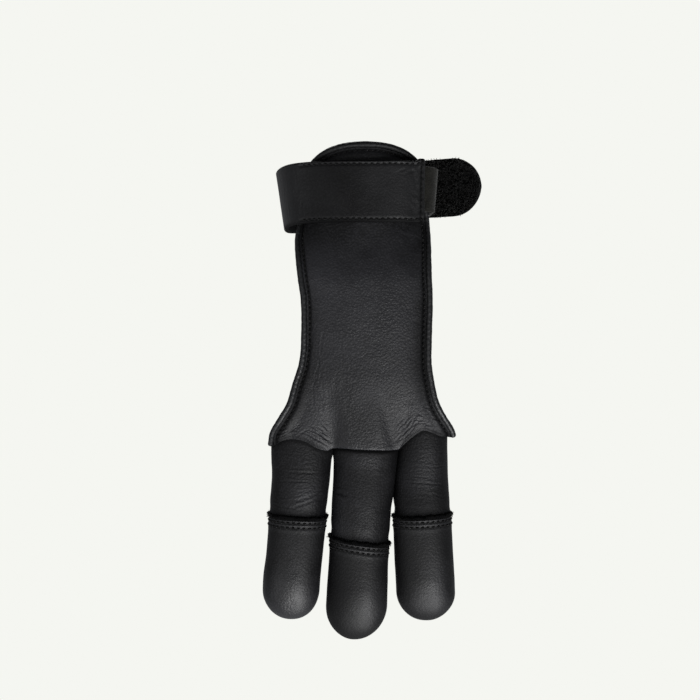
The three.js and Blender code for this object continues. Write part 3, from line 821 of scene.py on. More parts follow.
# Folds on the palm side of each sleeve: single ones, and then groups, in the same columns
SLEEVE_FOLDS = {
    "index": [
        (-37, -116.2, -18, -117.6, 0.45, 0.1, 0.02),
        (-38, -121.4, -24, -121.0, 0.4, 0.08, -0.02),
        (-30, -131.6, -19, -127.4, 0.5, 0.15, 0.04),
        (-29, -129.0, -20, -125.6, 0.45, 0.12, 0.03),
        (-38, -131, -27, -132.6, 0.45, 0.1, -0.02),
    ],
    "middle": [(-11.6, -125.6, -7.8, -126.9, 0.8, 0.3, 0.0)],
    "ring": [
        (17, -121.5, 31, -122.4, 0.4, 0.11, -0.02),
        (18, -118.6, 29, -119.4, 0.35, 0.08, 0.02),
    ],
}
SLEEVE_FOLD_GROUPS = {
    "index": [
        (60, (-28, -119), (10, 12), 0, 7, (3, 9), (0.2, 0.32), (0.02, 0.05)),
        (18, (-24, -128), (4, 3.5), 14, 14, (2, 6), (0.22, 0.38), (0.03, 0.08)),
    ],
    "middle": [(14, (0, -122), (9, 14), 0, 16, (3, 8), (0.3, 0.5), (0.02, 0.05))],
    "ring": [
        (110, (25, -114), (7, 11), -4, 12, (2, 6), (0.2, 0.34), (0.025, 0.07)),
        (14, (25, -130), (7, 4), -4, 10, (4, 9), (0.3, 0.45), (0.03, 0.08)),
    ],
}
SLEEVE_FOLD_SEED = 28


def sleeve_painted_light(finger, base, below, waist):
    """Painted light on a sleeve's leather: painted shade by the hem and the cap, and painted highlight
    and shade spots where it is pressed out.
    """
    tone = SLEEVE_PAINTED_SHADE + painted_spots(SLEEVE_PAINTED_SPOTS[finger["name"]], base[..., 0], base[..., 2])
    tone -= 0.3 * fall(waist, 1, 8)
    if finger["name"] != "middle":
        tone -= 0.15 * fall(below, 0, 9)
    return tone


def sleeve_bulge(name, base, angle):
    """Fullness of neighbouring sleeves that press on each other below the palm."""
    side = np.cos(angle)
    z = base[..., 2]
    if name == "index":
        return 0.5 * smoothstep(side, 0.5, 1) * smoothstep(z, -113, -109)
    if name == "middle":
        left = 0.35 * smoothstep(-side, 0.5, 1) * smoothstep(z, -113, -109)
        return left + 0.5 * smoothstep(side, 0.5, 1) * smoothstep(z, -134, -127)
    return 0.65 * smoothstep(-side, 0.5, 1) * smoothstep(z, -134, -127)


def make_sleeve(finger):
    name = finger["name"]
    angle = turns(SLEEVE_SIDES)[None]
    hem = mouth(finger, angle)
    rim = sleeve_rim(finger, angle)
    z = lerp(rim, hem + 0.6, np.linspace(0, 1, SLEEVE_ROWS)[:, None])
    base = finger_points(finger, z, angle)
    front = smoothstep(-oblong_turn(angle)[1], 0.0, 0.5) + 0 * z
    groups = SLEEVE_FOLD_GROUPS[name]
    folds = SLEEVE_FOLDS[name] + scatter_folds(SLEEVE_FOLD_SEED + finger["seed"], groups)
    height = 0.22 * fractal(base, 13, 2, 13) + 0.05 * value_noise(base, 3, 17)
    height += front * fold_relief(base[..., 0], base[..., 2], folds)
    waist = hem + 0.6 - z
    height -= 0.27 * bell(waist + 2.0, 2.2)
    height += sleeve_bulge(name, base, angle)
    outer = base + finger_normals(base, angle) * height[..., None]
    tuck_z = lerp(hem + 0.1, hem - CAP_LAP, np.array([0.0, 0.35, 1.0])[:, None])
    tuck = finger_points(finger, tuck_z, angle, CAP_WALL + CLEARANCE)
    bottom = finger_points(finger, hem - CAP_LAP, angle, CAP_WALL + CLEARANCE + SLEEVE_WALL)
    inner_z = lerp(rim, hem - 0.2, np.linspace(1, 0, 14)[:, None])
    inner = finger_points(finger, inner_z, angle, SLEEVE_WALL)
    rings = np.concatenate([outer, tuck, bottom, inner])
    rest = np.zeros((len(rings) - len(outer), angle.size))
    below = hem_over(finger, angle) - z
    # Painted shadow beneath the panel's hem, deepest over the middle finger, and painted shade just
    # above the cap
    deep = 1.0 if name == "middle" else 0.45
    covered = deep * front * bell(np.maximum(below - 0.7, 0), 0.7 + 0.4 * deep)
    seen = np.maximum(0.6 * bell(waist - 0.4, 1.1), covered)
    add_mesh(
        f"{name}_sleeve_leather", loft(rings, looped=True), "panel", "panel_leather",
        f"{name}_sleeve", shade=np.concatenate([seen, rest]),
        wear=np.concatenate([sleeve_painted_light(finger, base, below, waist), rest]),
    )


def cap_height(down):
    """Height of a cap's face at a distance below its mouth: a ridge beside each sewn row."""
    rows = bell(down - ROW_ONE, 0.42) + bell(down - ROW_TWO, 0.42)
    ridges = (
        0.4 * bell(down - ROW_ONE + 1.0, 0.5)
        + 0.3 * bell(down - (ROW_ONE + ROW_TWO) / 2, 0.45)
        + 0.14 * bell(down - ROW_TWO - 1.1, 0.8)
    )
    return 0.65 * ridges - 0.13 * rows, rows


def make_cap(finger):
    name = finger["name"]
    angle = turns(CAP_SIDES)[None]
    hem = mouth(finger, angle)
    start = finger["tip"] + finger["dome"]
    body_share = np.linspace(0, 1, CAP_BODY_ROWS)[:, None] ** 1.15
    dome_turn = math.pi / 2 * np.arange(1, CAP_DOME_ROWS + 1) / (CAP_DOME_ROWS + 0.6)
    dome = start - finger["dome"] * np.sin(dome_turn)
    z = np.concatenate([lerp(hem - CAP_TOP, start, body_share), dome[:, None] + 0 * angle])
    base = finger_points(finger, z, angle)
    down = hem - z
    sewn, rows = cap_height(down)
    height = 0.24 * fractal(base, 15, 2, 23 + finger["seed"]) + 0.03 * value_noise(base, 3.2, 29)
    around = angle * (finger["width"] + FINGER_DEPTH) / 4 * 1.04
    pull = 0.5 * (1 + np.cos(2 * math.pi * around / CAP_PITCH))
    height += sewn - 0.08 * pull * rows
    outer = base + finger_normals(base, angle) * height[..., None]
    tip_x, tip_y, _, _ = finger_section(finger, np.array(finger["tip"]))
    poles = [(tip_x, tip_y, finger["tip"] + rise) for rise in (-0.02, CAP_WALL)]
    inner_dome = start - (finger["dome"] - CAP_WALL) * np.sin(math.pi / 2 * np.arange(1, 9) / 8.6)
    inner_z = lerp(hem - 1.0, start, np.linspace(0, 1, 10)[:, None])
    inner_z = np.concatenate([inner_z, inner_dome[:, None] + 0 * angle])
    inner = finger_points(finger, inner_z, angle, CAP_WALL)
    shape = loft(np.concatenate([outer[::-1], inner]), poles=poles)
    extra = np.zeros((len(inner), angle.size))
    shade = np.append(np.concatenate([0.04 * np.minimum(rows, 1)[::-1], extra]), [0, 0])
    # Painted highlight growing towards the tip and on the raised ridges beside the sewn rows, over
    # painted shade, with spots of painted light and shade
    painted_sheen = CAP_TONE + finger["painted_sheen"] * smoothstep(down, 14, 40) + 3.0 * np.maximum(sewn, 0)
    painted_sheen += painted_spots(CAP_PAINTED_SPOTS[name], base[..., 0], z)
    wear = np.append(np.concatenate([painted_sheen[::-1], extra]), [0.2, 0])
    add_mesh(
        f"{name}_cap_leather", shape, "cap", "cap_leather", f"{name}_cap",
        shade=shade, wear=wear,
    )
    ring_angle = np.linspace(0, 2 * math.pi, 400)
    for label, row in (("upper", ROW_ONE), ("lower", ROW_TWO)):
        level = mouth(finger, ring_angle) - row
        spots = finger_points(finger, level, ring_angle)
        out = finger_outward(finger, spots, level)
        paths = stitch_paths(spots - out * 0.08, out, CAP_PITCH, CAP_STITCH, 0.35, 0.2, 81)
        shape = strands(paths, CAP_THREAD)
        add_mesh(f"{name}_cap_stitching_{label}", shape, "thread", "cap_leather")


# Section of a cap's raw edge: rise above its mouth and how far it stands proud
RAW_EDGE = [
    (-1.35, 0.0), (-1.15, 0.3), (-0.95, 0.6), (-0.65, 0.8), (-0.35, 0.95), (-0.05, 0.95),
    (0.2, 0.75), (0.35, 0.35), (0.3, 0.0), (0.0, -0.3), (-0.6, -0.4), (-1.25, -0.45),
]


def make_cap_edge(finger):
    """Raw frayed edge of the cap leather round its mouth."""
    name, seed = finger["name"], finger["seed"]
    angle = turns(CAP_EDGE_SIDES)
    ring = np.stack([np.cos(angle) * 12, np.sin(angle) * 12, 0 * angle], -1)
    wave = 0.5 * value_noise(ring, 5, seed) + 0.42 * value_noise(ring, 1.3, seed + 7)
    lean = 0.5 + 0.35 * value_noise(ring, 3, seed + 9)
    rings = []
    for k, (rise, proud) in enumerate(RAW_EDGE):
        top = smoothstep(rise, -1.7, 0.0)
        level = mouth(finger, angle) + rise + wave * top
        jitter = 0.22 * value_noise(ring + k * 0.37, 0.9, seed + 20) * top
        reach = proud * (0.75 + 0.5 * lean * top) + jitter
        points = finger_points(finger, level, angle)
        rings.append(points + finger_outward(finger, points, level) * reach[:, None])
    add_mesh(f"{name}_cap_edge", loft(rings, looped=True), "raw", "cap_leather")
    rng = np.random.default_rng(90 + seed)
    turn = rng.uniform(0, 2 * math.pi, FRAY_HAIRS)
    level = mouth(finger, turn) + rng.uniform(-1.2, 0.3, FRAY_HAIRS)
    root = finger_points(finger, level, turn)
    out = finger_outward(finger, root, level)
    root = root + out * 0.55
    lead = out * rng.uniform(0.1, 0.8, (FRAY_HAIRS, 1)) + rng.normal(0, 0.6, (FRAY_HAIRS, 3))
    lead = unit(lead + 0.35 * UP)
    bend = rng.normal(0, 0.35, (FRAY_HAIRS, 3))
    t = np.linspace(0, 1, 5)[None, :, None]
    span = rng.uniform(0.3, 0.9, (FRAY_HAIRS, 1, 1))
    paths = root[:, None] + lead[:, None] * t * span + bend[:, None] * t**2 * span
    fray = strands(paths, rng.uniform(0.04, 0.08, FRAY_HAIRS), 4)
    add_mesh(f"{name}_cap_fray", fray, "raw", "cap_leather")


# Strap, elastic and closure

BINDING_TOP = PANEL_WALL + 2 * PANEL_SEAT
ELASTIC_OVER = BINDING_TOP + 2 * CLEARANCE + ELASTIC_WALL / 2
ELASTIC_SIDE = 2 * CLEARANCE + ELASTIC_WALL / 2
HOOK_SEAT = ELASTIC_SIDE + ELASTIC_WALL / 2 + CLEARANCE + HOOK_WALL / 2
PILE_SEAT = HOOK_SEAT + HOOK_WALL / 2 + 2 * CLEARANCE + PILE_WALL / 2
STRAP_BACK = PILE_SEAT + PILE_WALL / 2 + CLEARANCE + STRAP_WALL / 2
STRAP_FRONT = BINDING_TOP + 2 * CLEARANCE + STRAP_WALL / 2
STRAP_END = ELASTIC_OVER + ELASTIC_WALL / 2 + 2 * CLEARANCE + STRAP_WALL / 2

# Routes of the bands round the wrist: at is the turn in degrees from the front, stand is the
# distance from the wrist's hollow, and climb is in strap widths
STRAP_ROUTE = {
    "at": [-39, -20, -4, 36, 58, 90, 140, 180, 214],
    "stand": [
        STRAP_END, STRAP_END, STRAP_FRONT, STRAP_FRONT, STRAP_FRONT + STRAP_SLACK,
        STRAP_FRONT + STRAP_SLACK, STRAP_BACK, STRAP_BACK, STRAP_BACK,
    ],
    "climb": [0, 0, 0, 0.01, 0, -0.045, 0.04, 0.2, 0.29],
}
ELASTIC_ROUTE = {
    "at": [22, 56, 78, 90, 130, 176],
    "stand": [
        ELASTIC_OVER, ELASTIC_OVER, ELASTIC_SIDE + CLEARANCE,
        ELASTIC_SIDE, ELASTIC_SIDE, ELASTIC_SIDE,
    ],
    "climb": [0.105, 0.11, 0.12, 0.125, 0.17, 0.2],
}
LEFT = -1
RIGHT = 1
TAB_START = STRAP_ROUTE["at"][-1]
PILE_START = 188
HOOK_START = 126
HOOK_END = 172


def route_place(route, side, flare, turn):
    """Middle of a band on its route, with its directions and how far its top leans out."""

    def spot(degrees):
        ax, ay = oblong_turn(np.radians(degrees - 90))
        stand = read(route, "stand", degrees)
        x = side * (WRIST_WIDTH / 2 + stand) * ax
        y = (WRIST_DEPTH / 2 + stand) * ay
        return np.stack([x, y, STRAP_WIDTH * read(route, "climb", degrees) - STRAP_DROP], -1)

    along = spot(turn + 1) - spot(turn - 1)
    along[..., 2] = 0
    along = unit(along)
    out = side * np.stack([along[..., 1], -along[..., 0], 0 * along[..., 0]], -1)
    lean = math.tan(math.radians(flare)) * np.sin(np.radians(turn)) ** 4
    return spot(turn), along, out, lean


def strap_line(start, count, tab_count, width):
    """Places along the strap from a turn on: round the wrist, then straight out as the tab."""
    turn = np.linspace(start, TAB_START, count)
    middle, along, out, lean = route_place(STRAP_ROUTE, LEFT, SIDE_FLARE, turn)
    half = np.full(count, width / 2)
    share = np.arange(1, tab_count + 1) / tab_count
    run = TAB_LENGTH * np.sin(math.pi / 2 * share)
    past = np.clip(1 - (TAB_LENGTH - run) / (width / 2), 0, 0.995)
    tab_middle = middle[-1] + along[-1] * run[:, None]
    straight = [
        np.concatenate([part, np.repeat(part[-1:], tab_count, 0)]) for part in (along, out, lean)
    ]
    half = np.concatenate([half, width / 2 * np.sqrt(1 - past**2)])
    return (np.concatenate([middle, tab_middle]), *straight, half)


def band_root(line, row, rise, depth):
    """Points inside a band at a rise across it and a depth from its middle face."""
    middle, _, out, lean, _ = line
    return middle[row] + UP * rise[:, None] + out[row] * (depth + rise * lean[row])[:, None]


def band(line, shares, low, high, radius, relief=0):
    """Outer face and closed body of a band with rounded long edges; relief lifts that face."""
    middle, _, out, lean, half = line
    rise = shares[None] * half[:, None]
    past = np.clip((np.abs(rise) - (half[:, None] - radius)) / radius, 0, 0.98)
    fullness = (high - low) / 2 * np.sqrt(1 - past**2)
    face = middle[:, None] + UP * rise[..., None]
    depth = (low + high) / 2 + rise * lean[:, None]
    outer = face + out[:, None] * (depth + fullness + relief)[..., None]
    inner = face + out[:, None] * (depth - fullness)[..., None]
    return outer, loft(np.concatenate([outer, inner[:, ::-1]], axis=1))


STRAP_ROW_INSET = 1.4
STRAP_PITCH = 2.35
SEWN_LEFT = -26.0
SEWN_RIGHT = 23.5
SEAM_ROW = 1.7
# Small thick corner at the top of the strap's end seam
KNOT_AT = 1.6
KNOT_HALF = 1.7
KNOT_RISE = 1.1
# Points along and across the bands; the strap and the pile also have some along the tab
STRAP_POINTS = (290, 50, 58)
ELASTIC_POINTS = (150, 74)
PILE_POINTS = (70, 60, 54)
HOOK_POINTS = (60, 24)
# Number of loops, the beds' shares of their walls, and the steps between hooks
PILE_HAIRS = 3400
PILE_BED = 0.55
HOOK_BED = 0.5
HOOK_STEPS = (1.15, 1.05)
# Creases of the strap along its length and width, in the columns of scatter_folds
STRAP_FOLD_GROUPS = [
    (26, (62, 0), (16, 11), 90, 20, (4, 12), (0.4, 0.7), (0.02, 0.06)),
    (20, (125, 0), (30, 11), 90, 20, (4, 12), (0.4, 0.7), (0.03, 0.09)),
    (10, (8, 9), (4, 2.5), 150, 20, (2, 5), (0.35, 0.5), (0.05, 0.12)),
]


def strap_relief(run, rise, sewn, inset, knot):
    """Height of the strap's outer face, with the groove of its end seam."""
    flat = laid_flat(run, rise)
    height = 0.16 * fractal(flat, 16, 2, 101) + 0.025 * value_noise(flat, 3, 103)
    height -= 0.36 * bell(inset - STRAP_ROW_INSET, 0.5) * sewn
    height += 0.12 * bell(inset - 0.65, 0.5) * sewn
    height += fold_relief(flat[..., 0], flat[..., 2], scatter_folds(107, STRAP_FOLD_GROUPS))
    height += 0.7 * fall(run, 1.0, SEAM_WIDTH + 1.0)
    height -= 0.5 * fall(run, 0.0, 0.9)
    height += 0.14 * fall(run, 4, 8) * value_noise(flat, 1.4, 109)
    height += 0.5 * knot * smoothstep(rise, 8, 11)
    seam = bell(run - SEAM_ROW, 0.5) + 0 * rise
    return height - 0.5 * seam, seam


def make_strap():
    line = strap_line(STRAP_ROUTE["at"][0], STRAP_POINTS[0], STRAP_POINTS[1], STRAP_WIDTH)
    s = np.linspace(-1, 1, STRAP_POINTS[2])
    shares = np.sign(s) * (1 - (1 - np.abs(s)) ** 1.25)
    middle, _, out, _, half = line
    run = distances(middle)[:, None]
    knot = np.exp(-(((run - KNOT_AT) / KNOT_HALF) ** 4))
    half += KNOT_RISE / 2 * knot[:, 0]
    middle[:, 2] += KNOT_RISE / 2 * knot[:, 0]
    rise = shares[None] * half[:, None]
    x = middle[:, 0:1]
    front = middle[:, 1] < 0
    sewn = smoothstep(x, SEWN_LEFT - 1, SEWN_LEFT) * fall(x, SEWN_RIGHT, SEWN_RIGHT + 1)
    sewn = front[:, None] * sewn + 0 * rise
    inset = STRAP_WIDTH / 2 - np.abs(rise)
    height, seam = strap_relief(run, rise, sewn, inset, knot)
    outer, shape = band(line, shares, -STRAP_WALL / 2, STRAP_WALL / 2, 0.9, height)
    # Painted shade along the strap's rims and round its tab's end, wider along its lower edge, and
    # painted shade in its sewn rows and end seam
    rim = np.minimum(half[:, None] - np.abs(rise), run[-1] - run)
    painted_rim_shade = 0.95 * bell(rim, np.where(rise < 0, 0.95, 0.6))
    rows = bell(inset - STRAP_ROW_INSET, 0.5) * sewn
    shade = np.clip(0.15 * rows + 0.7 * seam + painted_rim_shade, 0, 1)
    # Painted highlight on the ridge between each sewn row and the strap's edge, with painted light and
    # shade along the strap's length
    edge = 0.6 * sewn * bell(inset - 0.95, 0.6) + read(STRAP_PAINTED_LIGHT, "tone", run)
    add_mesh(
        "wrist_strap_leather", shape, "strap", "strap_leather", "wrist_strap",
        shade=np.concatenate([shade, painted_rim_shade], 1), wear=np.concatenate([edge, 0 * edge], 1),
    )
    keep = (x[:, 0] > SEWN_LEFT) & (x[:, 0] < SEWN_RIGHT) & front
    threads = []
    for sign in (-1, 1):
        level = sign * (STRAP_WIDTH / 2 - STRAP_ROW_INSET)
        column = int(np.argmin(np.abs(shares * STRAP_WIDTH / 2 - level)))
        threads.append((outer[keep, column], out[keep], STRAP_PITCH, 0.2, 111 + sign))
    place = int(np.argmin(np.abs(run[:, 0] - SEAM_ROW)))
    end_seam = outer[place, 3:-3]
    threads.append((end_seam, np.repeat(out[place][None], len(end_seam), 0), STITCH_PITCH, 0.22, 117))
    shape = merge([
        strands(stitch_paths(spots + outs * 0.05, outs, pitch, STITCH_LENGTH, 0.45, proud, seed), THREAD)
        for spots, outs, pitch, proud, seed in threads
    ])
    add_mesh("wrist_strap_stitching", shape, "thread", "strap_leather")


def make_elastic():
    turn = np.linspace(ELASTIC_ROUTE["at"][0], ELASTIC_ROUTE["at"][-1], ELASTIC_POINTS[0])
    middle, along, out, lean = route_place(ELASTIC_ROUTE, RIGHT, ELASTIC_FLARE, turn)
    half = ELASTIC_WIDTH / 2 - ELASTIC_DRAW * smoothstep(turn, 150, 90)
    middle = middle + UP * (half - ELASTIC_WIDTH / 2)[:, None]
    shares = np.linspace(-1, 1, ELASTIC_POINTS[1])
    run = distances(middle)[:, None]
    rise = shares[None] * half[:, None]
    weave = 0.6 + 0.4 * np.cos(2 * math.pi * run / 0.9 + rise * 3)
    height = 0.11 * np.cos(2 * math.pi * rise / 1.1) * weave
    height += 0.06 * fractal(laid_flat(run, rise), 4, 2, 121)
    line = (middle, along, out, lean, half)
    shape = band(line, shares, -ELASTIC_WALL / 2, ELASTIC_WALL / 2, 0.5, height)[1]
    # Painted light along the elastic's edges; the elastic's material does not read it
    edge = bell(half[:, None] - np.abs(rise), 0.8)
    wear = np.concatenate([edge, edge[:, ::-1]], 1)
    add_mesh(
        "strap_elastic_webbing", shape, "elastic", "elastic", "strap_elastic",
        wear=wear, shade=0 * wear,
    )


def make_pile():
    seat = -STRAP_WALL / 2 - CLEARANCE
    line = strap_line(PILE_START, PILE_POINTS[0], PILE_POINTS[1], PILE_WIDTH)
    shares = np.linspace(-1, 1, PILE_POINTS[2])
    middle, along, out, _, half = line
    run = distances(middle)
    points, quads, tris = band(line, shares, seat - PILE_WALL * PILE_BED, seat, 0.5)[1]
    lump = 0.175 * fractal(points, 1.3, 2, 131)[:, None]
    bed = (points + lump * np.array([[0.45, 0.9, 0.2]]), quads, tris)
    add_mesh("loop_pad_base", bed, "bed", "loop_pile", "loop_pad")
    rng = np.random.default_rng(133)
    row = np.searchsorted(run, rng.uniform(0, run[-1], PILE_HAIRS)).clip(0, len(run) - 1)
    side = rng.uniform(-1, 1, PILE_HAIRS)
    root = band_root(line, row, side * half[row], seat - PILE_WALL * PILE_BED + 0.1)
    near_tip = smoothstep(run[row], run[-1] - 8, run[-1])
    outward = UP * (np.sign(side) * smoothstep(np.abs(side), 0.75, 1))[:, None]
    outward = outward + along[row] * near_tip[:, None]
    lead = unit(-out[row] * 1.1 + rng.normal(0, 0.3, (PILE_HAIRS, 3)) + 0.2 * outward)
    curl = rng.normal(0, 0.75, (PILE_HAIRS, 3))
    curl -= np.sum(curl * out[row], -1, keepdims=True) * out[row]
    t = np.linspace(0, 1, 6)[None, :, None]
    rim = np.maximum(smoothstep(np.abs(side), 0.88, 1), near_tip)[:, None, None]
    span = rng.uniform(0.8, 1.4, (PILE_HAIRS, 1, 1)) * (1 - 0.5 * rim)
    hook = np.sin(t * math.pi * 0.85)
    paths = root[:, None] + lead[:, None] * span * hook + curl[:, None] * span * t**2 * 0.9
    shape = strands(paths, rng.uniform(0.07, 0.12, PILE_HAIRS), 4)
    add_mesh("loop_pad_pile", shape, "pile", "loop_pile")


def make_hooks():
    seat = ELASTIC_WALL / 2 + CLEARANCE
    turn = np.linspace(HOOK_START, HOOK_END, HOOK_POINTS[0])
    place = route_place(ELASTIC_ROUTE, RIGHT, ELASTIC_FLARE, turn)
    line = (*place, np.full(len(turn), HOOK_WIDTH / 2))
    shares = np.linspace(-1, 1, HOOK_POINTS[1])
    shape = band(line, shares, seat, seat + HOOK_WALL * HOOK_BED, 0.3)[1]
    add_mesh("hook_patch_base", shape, "hooks", "hook_tape", "hook_patch")
    rng = np.random.default_rng(141)
    _, along, out, _, _ = line
    run = distances(line[0])
    at = np.arange(0.9, run[-1] - 0.6, HOOK_STEPS[0])
    rows = np.arange(-HOOK_WIDTH / 2 + 0.9, HOOK_WIDTH / 2 - 0.6, HOOK_STEPS[1])
    lengths, rises = np.meshgrid(at, rows)
    lengths = lengths.ravel() + rng.normal(0, 0.05, lengths.size)
    rises = rises.ravel() + rng.normal(0, 0.05, rises.size)
    row = np.searchsorted(run, lengths).clip(0, len(run) - 1)
    root = band_root(line, row, rises, seat + HOOK_WALL * 0.45)
    t = np.linspace(0, 1, 6)[None, :, None]
    flip = np.where(rng.uniform(size=len(row)) < 0.5, -1, 1)[:, None, None]
    arc = out[row][:, None] * 0.85 * np.sin(t * math.pi * 0.8)
    lean = along[row][:, None] * flip * 0.45 * (1 - np.cos(t * math.pi)) / 2
    shape = strands(root[:, None] + arc + lean, 0.1, 4)
    add_mesh("hook_patch_hooks", shape, "hooks", "hook_tape")


# Materials

GRAIN_PUSH = (0.0006, 0.0006, 0.0006)
# Colour of the painted shade in grooves, seams, along rims and under hems
SHADE_COLOR = (0.0015, 0.0015, 0.0017, 1)
BUMP_DEPTH = 0.0002


class Nodes:
    """Short way to make and join the nodes of a material or of the world."""

    def __init__(self, owner, output):
        owner.use_nodes = True
        self.owner = owner
        self.tree = owner.node_tree
        self.tree.nodes.clear()
        self.output = self.tree.nodes.new("ShaderNodeOutput" + output)

    def close(self, kind, inputs):
        """Joins the last shader to the output and gives back what the nodes belong to."""
        shader = self.add(kind, inputs)
        self.tree.links.new(shader.outputs[0], self.output.inputs[0])
        return self.owner

    def add(self, kind, inputs=None, **settings):
        node = self.tree.nodes.new("ShaderNode" + kind)
        for key, value in settings.items():
            setattr(node, key, value)
        for key, value in (inputs or {}).items():
            self.put(node, key, value)
        return node

    def put(self, node, key, value):
        if isinstance(value, bpy.types.NodeSocket):
            self.tree.links.new(value, node.inputs[key])
        else:
            node.inputs[key].default_value = value

    def math(self, operation, a, b=0.0, clamp=False):
        node = self.add("Math", {0: a, 1: b}, operation=operation, use_clamp=clamp)
        return node.outputs[0]

    def more(self, value, other, times, clamp=False):
        """A value plus a number of times another."""
        return self.math("ADD", value, self.math("MULTIPLY", other, times), clamp)

    def mix(self, factor, a, b):
        node = self.add("Mix", data_type="RGBA")
        self.put(node, 0, factor)
        self.put(node, 6, a)
        self.put(node, 7, b)
        return node.outputs[2]

    def remap(self, value, low, high, to_low, to_high, kind="LINEAR"):
        inputs = {0: value, 1: low, 2: high, 3: to_low, 4: to_high}
        return self.add("MapRange", inputs, interpolation_type=kind).outputs[0]

    def noise(self, where, scale, detail=3.0, rough=0.55):
        inputs = {"Vector": where, "Scale": scale, "Detail": detail, "Roughness": rough}
        return self.add("TexNoise", inputs).outputs[0]


def leather(name, dark, light, rough, cell, grain, gloss):
    """Black leather: pebbled grain, fine pores, patchy sheen, painted highlights and painted shade, and
    painted shade in grooves.
    """
    nodes = Nodes(bpy.data.materials.new(name), "Material")
    where = nodes.add("TexCoord").outputs["Object"]
    warp = nodes.add("TexNoise", {"Vector": where, "Scale": 900.0, "Detail": 2.0}).outputs["Color"]
    push = nodes.add("VectorMath", {0: warp, 1: GRAIN_PUSH}, operation="MULTIPLY").outputs[0]
    bent = nodes.add("VectorMath", {0: where, 1: push}, operation="ADD").outputs[0]
    cells = {"Vector": bent, "Scale": 1 / (cell * MM), "Smoothness": 0.5}
    cells = nodes.add("TexVoronoi", cells, feature="SMOOTH_F1")
    pebble = nodes.remap(cells.outputs["Distance"], 0.0, 0.75, 1.0, 0.0)
    fine = nodes.noise(where, 2600.0, 3.0, 0.6)
    lumps = nodes.noise(where, 420.0, 2.0, 0.5)
    patch = nodes.noise(where, 70.0, 3.0)
    broad = nodes.noise(where, 26.0, 2.0)
    wear = nodes.add("Attribute", attribute_name="wear").outputs["Fac"]
    shade = nodes.add("Attribute", attribute_name="shade").outputs["Fac"]
    tone = nodes.more(nodes.math("MULTIPLY", patch, 0.55), broad, 0.45)
    tone = nodes.remap(tone, 0.35, 0.65, 0.3, 0.7)
    tone = nodes.more(tone, wear, 0.55)
    tone = nodes.math("ADD", tone, nodes.remap(pebble, 0.2, 0.9, -0.22, 0.12), clamp=True)
    color = nodes.mix(tone, (*dark, 1), (*light, 1))
    color = nodes.mix(nodes.math("MULTIPLY", shade, 0.85), color, SHADE_COLOR)
    relief = nodes.more(nodes.more(pebble, fine, 0.35), lumps, 0.3)
    bump = nodes.add("Bump", {"Height": relief, "Strength": grain, "Distance": BUMP_DEPTH})
    roughness = nodes.remap(patch, 0.3, 0.7, rough - 0.05, rough + 0.07)
    roughness = nodes.more(nodes.more(roughness, shade, 0.35), wear, -0.11, clamp=True)
    glossy = nodes.math("MULTIPLY", nodes.remap(shade, 0.0, 1.0, 1.0, 0.25), gloss)
    glossy = nodes.math("MULTIPLY", glossy, nodes.remap(wear, -1.0, 1.0, 0.6, 1.4))
    return nodes.close("BsdfPrincipled", {
        "Base Color": color, "Roughness": roughness, "Normal": bump.outputs[0],
        "Specular IOR Level": glossy, "Sheen Weight": 0.0, "Sheen Roughness": 0.4,
    })


def fibrous(name, dark, light, rough, scale, grain, sheen, gloss):
    """Cloth, thread or raw leather: fine streaky tone and a matte, slightly fuzzy surface."""
    nodes = Nodes(bpy.data.materials.new(name), "Material")
    where = nodes.add("TexCoord").outputs["Object"]
    fine = nodes.noise(where, scale, 4.0, 0.65)
    patch = nodes.noise(where, scale / 9, 2.0)
    tone = nodes.remap(nodes.math("ADD", fine, patch), 0.75, 1.25, 0.0, 1.0)
    color = nodes.mix(tone, (*dark, 1), (*light, 1))
    bump = nodes.add("Bump", {"Height": fine, "Strength": grain, "Distance": BUMP_DEPTH})
    roughness = nodes.remap(fine, 0.3, 0.7, rough - 0.06, rough + 0.06)
    return nodes.close("BsdfPrincipled", {
        "Base Color": color, "Roughness": roughness, "Normal": bump.outputs[0],
        "Specular IOR Level": gloss, "Sheen Weight": sheen, "Sheen Roughness": 0.5,
    })


# Name, dark and light colour, roughness, grain size in millimetres, grain depth and gloss
LEATHERS = {
    "panel": ("panel_grain", (0.005, 0.005, 0.0058), (0.033, 0.033, 0.0385), 0.5, 0.85, 0.5, 0.45),
    "cap": ("cap_grain", (0.005, 0.005, 0.0057), (0.031, 0.031, 0.0355), 0.51, 0.9, 0.36, 0.6),
    "edging": ("edging_grain", (0.006, 0.0062, 0.0066), (0.03, 0.031, 0.033), 0.45, 0.9, 0.4, 0.45),
    "strap": ("strap_grain", (0.004, 0.004, 0.0045), (0.022, 0.0222, 0.024), 0.55, 0.8, 0.3, 0.4),
}
# Name, dark and light colour, roughness, scale of the fibres, their depth, sheen and gloss
FIBRES = {
    "thread": (
        "black_thread", (0.001, 0.001, 0.0011), (0.0035, 0.0035, 0.0038), 0.75, 3000.0, 0.4, 0.1, 0.2,
    ),
    "raw": (
        "raw_leather_edge", (0.0006, 0.0006, 0.0007), (0.0045, 0.0045, 0.0048),
        0.9, 1300.0, 1.0, 0.03, 0.05,
    ),
    "elastic": (
        "elastic_weave", (0.005, 0.0049, 0.004), (0.027, 0.0262, 0.0216),
        0.9, 1500.0, 0.9, 0.15, 0.06,
    ),
    "pile": (
        "loop_pile", (0.0006, 0.0006, 0.0005), (0.0098, 0.0098, 0.009), 0.8, 750.0, 0.5, 0.12, 0.2,
    ),
    "bed": (
        "pile_bed", (0.0004, 0.0004, 0.0004), (0.002, 0.002, 0.0018), 0.9, 900.0, 0.5, 0.05, 0.05,
    ),
    "hooks": (
        "hook_tape", (0.006, 0.006, 0.006), (0.012, 0.012, 0.012), 0.55, 1500.0, 0.3, 0.0, 0.4,
    ),
}
MATERIALS = {label: leather(*row) for label, row in LEATHERS.items()}
